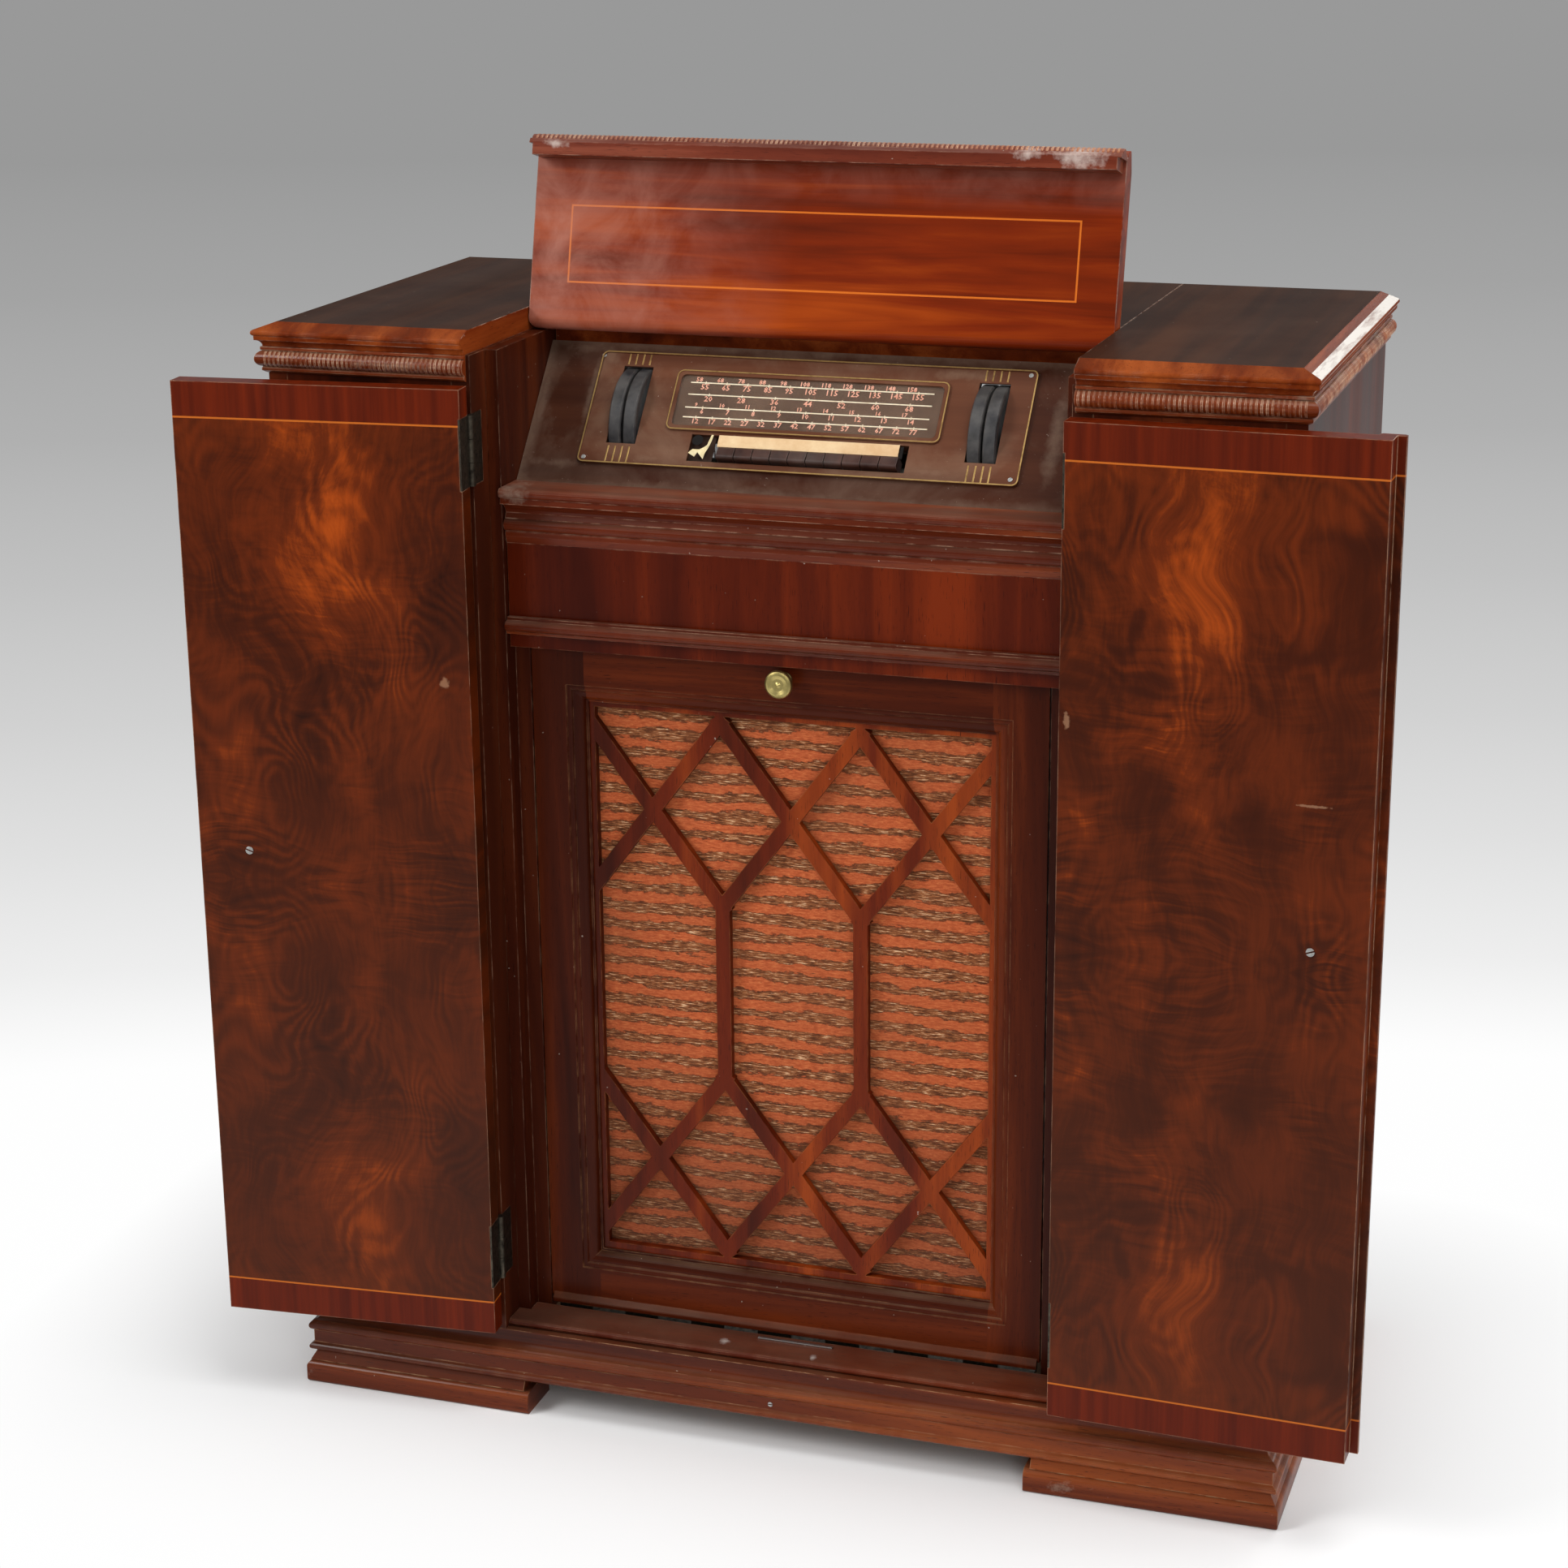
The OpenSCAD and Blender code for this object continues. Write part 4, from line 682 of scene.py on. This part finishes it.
dress(["volume_wheel", "tone_wheel", "tuning_wheel", "band_wheel"], bakelite(
    "black bakelite wheel", "#1d1c1e", "#343336", 0.42, 0.45))
dress([f"button_{i}" for i in range(1, 11)], bakelite(
    "brown bakelite button", "#2f1913", "#4c2c20", 0.36, 0.2))
dress(["tone_arm"], bakelite("brown bakelite tone arm", "#2a1a12", "#3d281c", 0.3))

# %% [markdown]
# Small printed and clear parts: the dial window and valve glass, the dark scale
# plate behind the window, the yellowed label strip and the red pointer. The window is
# hazy: dust on it shows as a little plain grey-brown among the clear.

# %% Glass, scale and strip
def clear_glass(name, tint, roughness, haze=0.0):
    material, add, place = new_tree(name)
    mist = mottle(add, place, 35, 6)
    dulled = add("MapRange", mist, 0.4, 0.8, roughness, roughness + 0.1)
    clear = add("MapRange", mist, 0.35, 0.7, 1.0 - haze * 0.5, 1.0 - haze)
    finish_tree(add, tint, dulled, 0.2, Transmission_Weight=clear)
    return material


def printed(name, ground, speckle, roughness, scale=90):
    material, add, place = new_tree(name)
    cloud = mottle(add, place, scale, 7, 0.65)
    colour = add("ValToRGB", cloud, stops=[(0.35, ground), (0.72, speckle)])
    finish_tree(add, colour, roughness, 0.3, (0.05, 0.1 * MM, cloud))
    return material


dress(["dial_glass"], clear_glass("dial window glass", "#c8a58c", 0.03, 0.22))
dress(["valves"], clear_glass("valve glass", "#e8e8e8", 0.05))
dress(["dial_scale"], printed("printed dial plate", "#3c2e24", "#5a4836", 0.5))
dial_ink = printed("salmon printing ink", "#d08a70", "#f0b8a0", 0.6, 300)
cream_ink = printed("cream printing ink", "#d8c8a8", "#f4ead0", 0.6, 300)
dress(["button_strip"], printed("yellowed celluloid strip", "#d2ab7e", "#ecd3a8", 0.5, 30))
torn_paper = printed("torn cream paper", "#d8c48e", "#efe2bc", 0.9, 120)
shade_board = printed("dark board, painted shade", "#2a1a12", "#3c281c", 0.9, 60)
shadow_black = printed("black painted shade in openings", "#0c0908", "#17110e", 0.9)
dress(["dial_pointer"], printed("red painted pointer", "#7c1410", "#9c2018", 0.4))
dress(["turntable"], printed("green-brown turntable felt", "#2a241a", "#3a3226", 0.95, 300))
print(len(bpy.data.materials), "materials")

# %% [markdown]
# Every finish went straight onto the CAD nodes that take it; their meshes stay as they
# are. A count shows that no node was forgotten.

# %% Check the finishes
print("materials on", len(dressed), "nodes, left over:", sorted(set(NODES) - dressed))

# %% [markdown]
# Every added piece is finished the same way: its bmesh becomes an object at the origin,
# which rides on the CAD body that carries it and names the material slot it belongs to.
# Small parts that repeat are merged into one mesh: each copy is stamped where it goes.

# %% Helpers for added pieces
def piece(name, mesh, body, material, smooth=False):
    bmesh.ops.recalc_face_normals(mesh, faces=mesh.faces)
    data = bpy.data.meshes.new(name)
    mesh.to_mesh(data)
    mesh.free()
    for polygon in data.polygons:
        polygon.use_smooth = smooth
    obj = bpy.data.objects.new(name, data)
    bpy.context.scene.collection.objects.link(obj)
    paint([obj], material)
    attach(obj, body)
    print(name, len(data.polygons), "faces, on", body)
    return obj


def stamp(mesh, pattern, *places):
    """Adds a copy of the pattern, a bmesh, to mesh at each place, a matrix."""
    data = bpy.data.meshes.new("pattern")
    pattern.to_mesh(data)
    pattern.free()
    for place in places:
        start = len(mesh.verts)
        mesh.from_mesh(data)
        mesh.verts.ensure_lookup_table()
        bmesh.ops.transform(mesh, matrix=place, verts=mesh.verts[start:])
    bpy.data.meshes.remove(data)


def at(x, y, z):
    """A place given in millimetres."""
    return Matrix.Translation((x * MM, y * MM, z * MM))


def turn(degrees, axis):
    return Matrix.Rotation(math.radians(degrees), 4, axis)


def verts_of(parts):
    """The vertices of some faces, each once."""
    return list({vert for part in parts for vert in part.verts})

# %% [markdown]
# The beads of the cornices are reeded: short half-round ribs lie side by side over them,
# turned with a cutter. One rib is a small circle swept most of half way round the bead
# with Spin. It is stamped every 4 mm along the fronts and the sides, and along the
# lid's moulding, which is turned with the lid.

# %% Reeds on the beads
BEAD_Z, BEAD_RADIUS = 905.5, 5.3
REED_RADIUS, REED_PITCH, REED_SWEEP = 1.7, 4, 164
TOWER_FACE = -171.52
TOWER_INNER, TOWER_SIDE = 248, 419
reed_walnut = walnut("reeded walnut bead", ("#4c1a0a", "#8a4220", "#c07c4c"), "X", "#e0bc9c", 1.0, coat=0.35,
                     dust="#c0a088")


def reed():
    mesh = bmesh.new()
    ring = bmesh.ops.create_circle(mesh, radius=REED_RADIUS * MM, segments=7)
    bmesh.ops.transform(mesh, matrix=turn(-REED_SWEEP / 2, "X") @ at(0, -BEAD_RADIUS, 0), verts=ring["verts"])
    bmesh.ops.spin(mesh, geom=mesh.edges[:], cent=(0, 0, 0), axis=(1, 0, 0), angle=math.radians(REED_SWEEP),
                   steps=6)
    bmesh.ops.holes_fill(mesh, edges=[e for e in mesh.edges if e.is_boundary])
    return mesh


def tower_reeds():
    mesh = bmesh.new()
    places = []
    for side in (-1, 1):
        places += [at(side * (TOWER_INNER + REED_PITCH * i), TOWER_FACE - 2, BEAD_Z) for i in range(43)]
        places += [at(side * TOWER_SIDE, TOWER_FACE + 1 + REED_PITCH * i, BEAD_Z) @ turn(side * 90, "Z")
                   for i in range(97)]
    stamp(mesh, reed(), *places)
    return piece("tower_reeds", mesh, "cabinet", reed_walnut, smooth=True)


def lid_reeds():
    mesh = bmesh.new()
    swing = Matrix.Translation(LID_AXIS) @ Matrix.Rotation(LID_TURN, 4, "X") @ Matrix.Translation(-LID_AXIS)
    places = [at(REED_PITCH * i - 240, TOWER_FACE - 2.4, BEAD_Z + 0.3) for i in range(121)]
    stamp(mesh, reed(), *[swing @ place for place in places])
    return piece("lid_reeds", mesh, "lid_body", reed_walnut, smooth=True)


for reeds in (tower_reeds(), lid_reeds()):
    heights = [v.co.z for v in reeds.data.vertices]
    print(reeds.name, "from", round(min(heights) / MM, 1), "to", round(max(heights) / MM, 1), "mm high")

# %% [markdown]
# The plate's bright trim is thin: a golden line round its rim and another round the dial,
# and four short brass lines above and below each pair of wheels. A rounded rectangle is
# one face whose corners are bevelled; an inset leaves a narrow border of it, and the
# border is thickened. A bar is a cube with its edges taken off.

# %% Bright trim
PLATE_MIDDLE, DIAL_MIDDLE = 73, 82.5
PANEL_FACE = 1.7
WHEELS_X = 150


def bevel(mesh, geom, offset, segments, affect, **options):
    bmesh.ops.bevel(mesh, geom=geom, offset=offset * MM, segments=segments, profile=0.5, affect=affect,
                    material=-1, **options)


def border(mesh, place, width, height, radius, wide, thick):
    """A flat rounded frame, its outline width by height, in millimetres."""
    plate = bmesh.new()
    bmesh.ops.create_grid(plate, x_segments=1, y_segments=1, size=0.5 * MM)
    bmesh.ops.scale(plate, vec=(width, height, 1), verts=plate.verts)
    bevel(plate, plate.verts[:], radius, 6, "VERTICES", offset_type="OFFSET")
    rim = bmesh.ops.inset_region(plate, faces=plate.faces[:], thickness=wide * MM, use_even_offset=True,
                                 use_boundary=True)["faces"]
    bmesh.ops.delete(plate, geom=[f for f in plate.faces if f not in rim], context="FACES_ONLY")
    bmesh.ops.solidify(plate, geom=plate.faces[:], thickness=thick * MM)
    stamp(mesh, plate, place)


def bar(mesh, place, x, y, z, edge):
    """A bar with its edges taken off, from sizes in millimetres."""
    block = bmesh.new()
    bmesh.ops.create_cube(block, size=MM)
    bmesh.ops.scale(block, vec=(x, y, z), verts=block.verts)
    bevel(block, block.edges[:], edge, 2, "EDGES")
    stamp(mesh, block, place)


def bright_trim():
    mesh = bmesh.new()
    border(mesh, PANEL @ at(0, PLATE_MIDDLE, 2.85), 365.6, 103.6, 5, 1.1, 0.3)
    border(mesh, PANEL @ at(0, DIAL_MIDDLE, 3.6), 228, 55, 5.5, 1.0, 0.3)
    for side in (-1, 1):
        for i in range(4):
            for up_slope, length in ((118.3, 10), (30.0, 15)):
                x = side * WHEELS_X + (i - 1.5) * 6
                bar(mesh, PANEL @ at(x, up_slope, PANEL_FACE), 1.3, length, 0.5, 0.15)
    return piece("bright_trim", mesh, "cabinet", bright_brass)


bright_trim()

# %% [markdown]
# The dial is printed on its glass: four pale lines with their ticks, and generic station
# numbers above and below them in salmon. The lines are thin bars. The numbers are text
# objects, turned into meshes before they are placed; each is only a few dozen faces.

# %% Dial print
GLASS_FACE = 1.62
SCALE_HALF = 98


def number(text, height):
    curve = bpy.data.curves.new("number", "FONT")
    curve.body = text
    curve.size = height * MM
    curve.extrude = 0.02 * MM
    curve.offset = 0.12 * MM
    curve.resolution_u = 1
    curve.align_x = "CENTER"
    holder = bpy.data.objects.new("number", curve)
    flat = bpy.data.meshes.new_from_object(holder)
    mesh = bmesh.new()
    mesh.from_mesh(flat)
    bpy.data.objects.remove(holder)
    bpy.data.curves.remove(curve)
    bpy.data.meshes.remove(flat)
    return mesh


def dial_print():
    lines, numbers = bmesh.new(), bmesh.new()
    # height of the line on the panel, the numbers under it, their size, and whether more stand above
    rows = [(99.5, range(55, 165, 10), 7.2, True), (88.5, range(20, 76, 8), 7.0, False),
            (76.5, range(6, 15), 6.2, True), (67.5, range(12, 82, 5), 6.4, False)]
    for s, values, height, above in rows:
        bar(lines, PANEL @ at(0, s, GLASS_FACE), 204, 1.0, 0.1, 0.02)
        for i, value in enumerate(values):
            x = 2 * SCALE_HALF * (i + 0.5) / len(values) - SCALE_HALF
            stamp(numbers, number(str(value), height), PANEL @ at(x, s - 0.72 * height - 0.9, GLASS_FACE))
            if above:
                stamp(numbers, number(str(value + 3), height * 0.8), PANEL @ at(x - 6, s + 1.1, GLASS_FACE))
            bar(lines, PANEL @ at(x, s, GLASS_FACE), 0.7, 2.8, 0.1, 0.02)
    piece("dial_lines", lines, "cabinet", cream_ink)
    piece("dial_print", numbers, "cabinet", dial_ink)


dial_print()

# %% [markdown]
# Hardware that the photograph shows: slotted screws through the doors behind the knobs
# and at the plate's corners, a steel catch under the tilt front and a pin in the base.
# A screw head is a disc cut in three by two parallel planes; the two outer parts
# are raised, which leaves the slot.

# %% Screws, catch and pin
HINGE_X, HINGE_OUT = 0.242, 0.0035
KNOB_SCREW = at(-198, 22.4, 502)
DOORS = {"left": (-1, 175), "right": (1, 178)}


def screw_head(radius, high, degrees=20):
    mesh = bmesh.new()
    bmesh.ops.create_circle(mesh, cap_ends=True, radius=radius * MM, segments=20)
    for side in (-1, 1):
        bmesh.ops.bisect_plane(mesh, geom=mesh.verts[:] + mesh.edges[:] + mesh.faces[:],
                               plane_co=(0, side * radius * 0.16 * MM, 0), plane_no=(0, 1, 0))
    sides = [f for f in mesh.faces if abs(f.calc_center_median().y) > radius * 0.2 * MM]
    raised = bmesh.ops.extrude_discrete_faces(mesh, faces=sides)["faces"]
    bmesh.ops.translate(mesh, vec=(0, 0, high * MM), verts=verts_of(raised))
    bevel(mesh, list({e for f in raised for e in f.edges}), high * 0.4, 2, "EDGES")
    bmesh.ops.rotate(mesh, matrix=turn(degrees, "Z").to_3x3(), verts=mesh.verts)
    return mesh


def door_place(side, angle):
    """An open door's own coordinates: x from the hinge axis, y out of its inner face."""
    swing = Matrix.Translation((HINGE_X, TOWER_FACE * MM - HINGE_OUT, 0)) @ turn(angle, "Z")
    return Matrix.Diagonal((side, 1, 1, 1)) @ swing


def fastenings():
    for name, (side, angle) in DOORS.items():
        mesh = bmesh.new()
        stamp(mesh, screw_head(3.4, 1.1), door_place(side, angle) @ KNOB_SCREW @ turn(-90, "X"))
        piece(f"{name}_door_screw", mesh, f"{name}_door_body", pin_steel)
    mesh = bmesh.new()
    for x, s in ((-181.6, 120.8), (-178, 26), (176.3, 27), (177, 120.5)):
        stamp(mesh, screw_head(1.9, 0.6, 50), PANEL @ at(x, s, 1.6))
    bar(mesh, at(8, TOWER_FACE + 36, 80.2), 66, 3, 1.4, 0.3)
    stamp(mesh, screw_head(2.2, 0.8, 0), at(-0.6, TOWER_FACE - 5.9, 42.2) @ turn(90, "X"))
    piece("cabinet_screws", mesh, "cabinet", pin_steel)


fastenings()

# %% [markdown]
# The label strip over the buttons has come loose: at its left a scrap of torn paper stands
# over the hole of a lost fixing. The scrap starts from a few corners, is cut finer and
# curled by moving its points, and an extrusion gives it the thickness of card. The hole and
# the slot's right end are painted shade, a black disc and bar, and a dark board behind both
# closes the slot as painted shade too.

# %% Torn scrap and hole
SCRAP = [(-89, 33), (-84, 31), (-82, 35), (-77, 30), (-75.5, 35), (-71, 50.5), (-73, 51), (-76, 43),
         (-81, 38), (-86, 37)]
CARD = 0.25 * MM


def torn_scrap():
    mesh = bmesh.new()
    mesh.faces.new([mesh.verts.new((x * MM, s * MM, 0)) for x, s in SCRAP])
    bmesh.ops.triangulate(mesh, faces=mesh.faces[:])
    bmesh.ops.subdivide_edges(mesh, edges=mesh.edges[:], cuts=2)
    for vert in mesh.verts:
        vert.co.z = 3.0 * MM + 1.4 * MM * math.sin(vert.co.x * 260) + 0.8 * MM * math.sin(vert.co.y * 400)
    lifted = bmesh.ops.extrude_face_region(mesh, geom=mesh.faces[:])["geom"]
    lifted = [part for part in lifted if isinstance(part, bmesh.types.BMVert)]
    bmesh.ops.translate(mesh, vec=(0, 0, CARD), verts=lifted)
    bmesh.ops.transform(mesh, matrix=PANEL, verts=mesh.verts)
    return piece("torn_scrap", mesh, "cabinet", torn_paper)


def lost_fixing():
    mesh = bmesh.new()
    # the hole and the slot's right end: a near-black disc and bar, painted shade where the openings lie in
    # shadow
    bmesh.ops.create_circle(mesh, cap_ends=True, radius=4.6 * MM, segments=28)
    ring = bmesh.ops.inset_region(mesh, faces=mesh.faces[:], thickness=0.7 * MM, use_boundary=True)
    bmesh.ops.translate(mesh, vec=(0, 0, 0.5 * MM), verts=verts_of(ring["faces"]))
    bmesh.ops.transform(mesh, matrix=PANEL @ at(-84.5, 46.5, 1.65), verts=mesh.verts)
    bar(mesh, PANEL @ at(85.2, 45, PANEL_FACE), 2.6, 11, 0.5, 0.1)
    return piece("lost_fixing", mesh, "cabinet", shadow_black)


def slot_blind():
    mesh = bmesh.new()
    # a dark board behind the slot: painted shade where the slot lies in shadow, hiding the chassis
    bar(mesh, PANEL @ at(-80.5, 41, -2.4), 20, 24, 0.6, 0.1)
    return piece("slot_blind", mesh, "cabinet", shade_board)


torn_scrap()
lost_fixing()
slot_blind()

# %% [markdown]
# Loudspeaker cloth is a sheet pulled tight over the baffle. Woven bands of terracotta
# alternate with a brown and gold tweed whose slubs wander, so the band edges are bent by
# a pattern, and the cream flecks lie in the tweed only. A real sheet is never dead flat: a
# low ripple remains between its tacks.

# %% Loudspeaker cloth
BAND_PITCH = 16.8 * MM
RIPPLE = 0.22 * MM


def cloth_sheet():
    low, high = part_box("speaker_cloth")
    width, height = high.x - low.x, high.z - low.z
    middle = ((low.x + high.x) / 2, low.y + 0.25 * MM + 0.5 * MM, (low.z + high.z) / 2)
    mesh = bmesh.new()
    bmesh.ops.create_grid(mesh, x_segments=90, y_segments=120, size=0.5)
    bmesh.ops.scale(mesh, vec=(width, height, 1), verts=mesh.verts)
    bmesh.ops.rotate(mesh, matrix=turn(90, "X").to_3x3(), verts=mesh.verts)
    bmesh.ops.translate(mesh, vec=middle, verts=mesh.verts)
    for vert in mesh.verts:
        vert.co.y += RIPPLE * math.sin(vert.co.z * 95) * math.sin(vert.co.x * 31 + vert.co.z * 9)
    for face in mesh.faces:
        face.smooth = True
    data = bpy.data.meshes.new("loudspeaker_cloth")
    mesh.to_mesh(data)
    mesh.free()
    obj = bpy.data.objects.new("loudspeaker_cloth", data)
    bpy.context.scene.collection.objects.link(obj)
    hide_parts("speaker_cloth")
    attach(obj, "tilt_front")
    return obj


def banded_tweed():
    material, add, place = new_tree("woven loudspeaker cloth, banded tweed")
    height = add("SeparateXYZ", place).outputs["Z"]
    wander = mottle(add, place, (18, 0, 60), 6, 0.68)
    bent = add("Math MULTIPLY_ADD", wander, 0.021, height)
    # a band and its tweed together are about 17 mm high
    wave = add("Math SINE", together(add, bent, 2 * math.pi / BAND_PITCH))
    fray = mottle(add, place, (120, 0, 500), 3, span=(0.3, 0.7, -0.5, 0.5))
    frayed = add("Math ADD", wave, fray)
    # the share of tweed varies, so that neighbouring bands now and then meet
    frayed = add("Math SUBTRACT", frayed, 0.95)
    frayed = add("Math MULTIPLY_ADD", mottle(add, place, (9, 0, 26), 3), 1.9, frayed)
    tweed = add("MapRange", frayed, -0.05, 0.3)
    # slubs about 12 mm long and 1 mm high in the tweed, 7 by 1.6 mm in the bands, coarser than
    # the real threads so that they show
    slub = mottle(add, place, (85, 0, 1000), 4, 0.72)
    tweed_colour = add("ValToRGB", slub, stops=[(0.36, "#331a0e"), (0.47, "#6c3c22"), (0.56, "#a8683e"),
                                                (0.64, "#ecc69c")])
    plain = mottle(add, place, (150, 0, 640), 5, 0.75)
    colour = add("ValToRGB", plain, stops=[(0.3, "#8a3a1c"), (0.5, "#ba5a32"), (0.75, "#dc8450")])
    colour = over(add, colour, tweed_colour, tweed)
    # a dark thread follows the edge of each band
    off_edge = add("Math ABSOLUTE", add("Math SUBTRACT", frayed, 0.1))
    colour = over(add, colour, "#3a1f14", add("MapRange", off_edge, 0.34, 0.05, 0.0, 0.75))
    # it has faded in clouds, and is darker towards the foot
    faded = mottle(add, place, 9, 4, span=(0.4, 0.7, 0.0, 0.3))
    colour = over(add, colour, "#7a4a30", faded)
    colour = over(add, colour, "#4c3024", add("MapRange", height, 0.13, 0.34, 0.5, 0.0))
    weave = add("Math ADD", slub, plain)
    finish_tree(add, colour, 0.95, 0.1, (0.6, 0.5 * MM, weave), Sheen_Weight=0.1, Sheen_Roughness=0.5)
    return material


cloth = cloth_sheet()
paint([cloth], banded_tweed())
print("cloth", [round(x / MM) for x in cloth.dimensions], "mm")
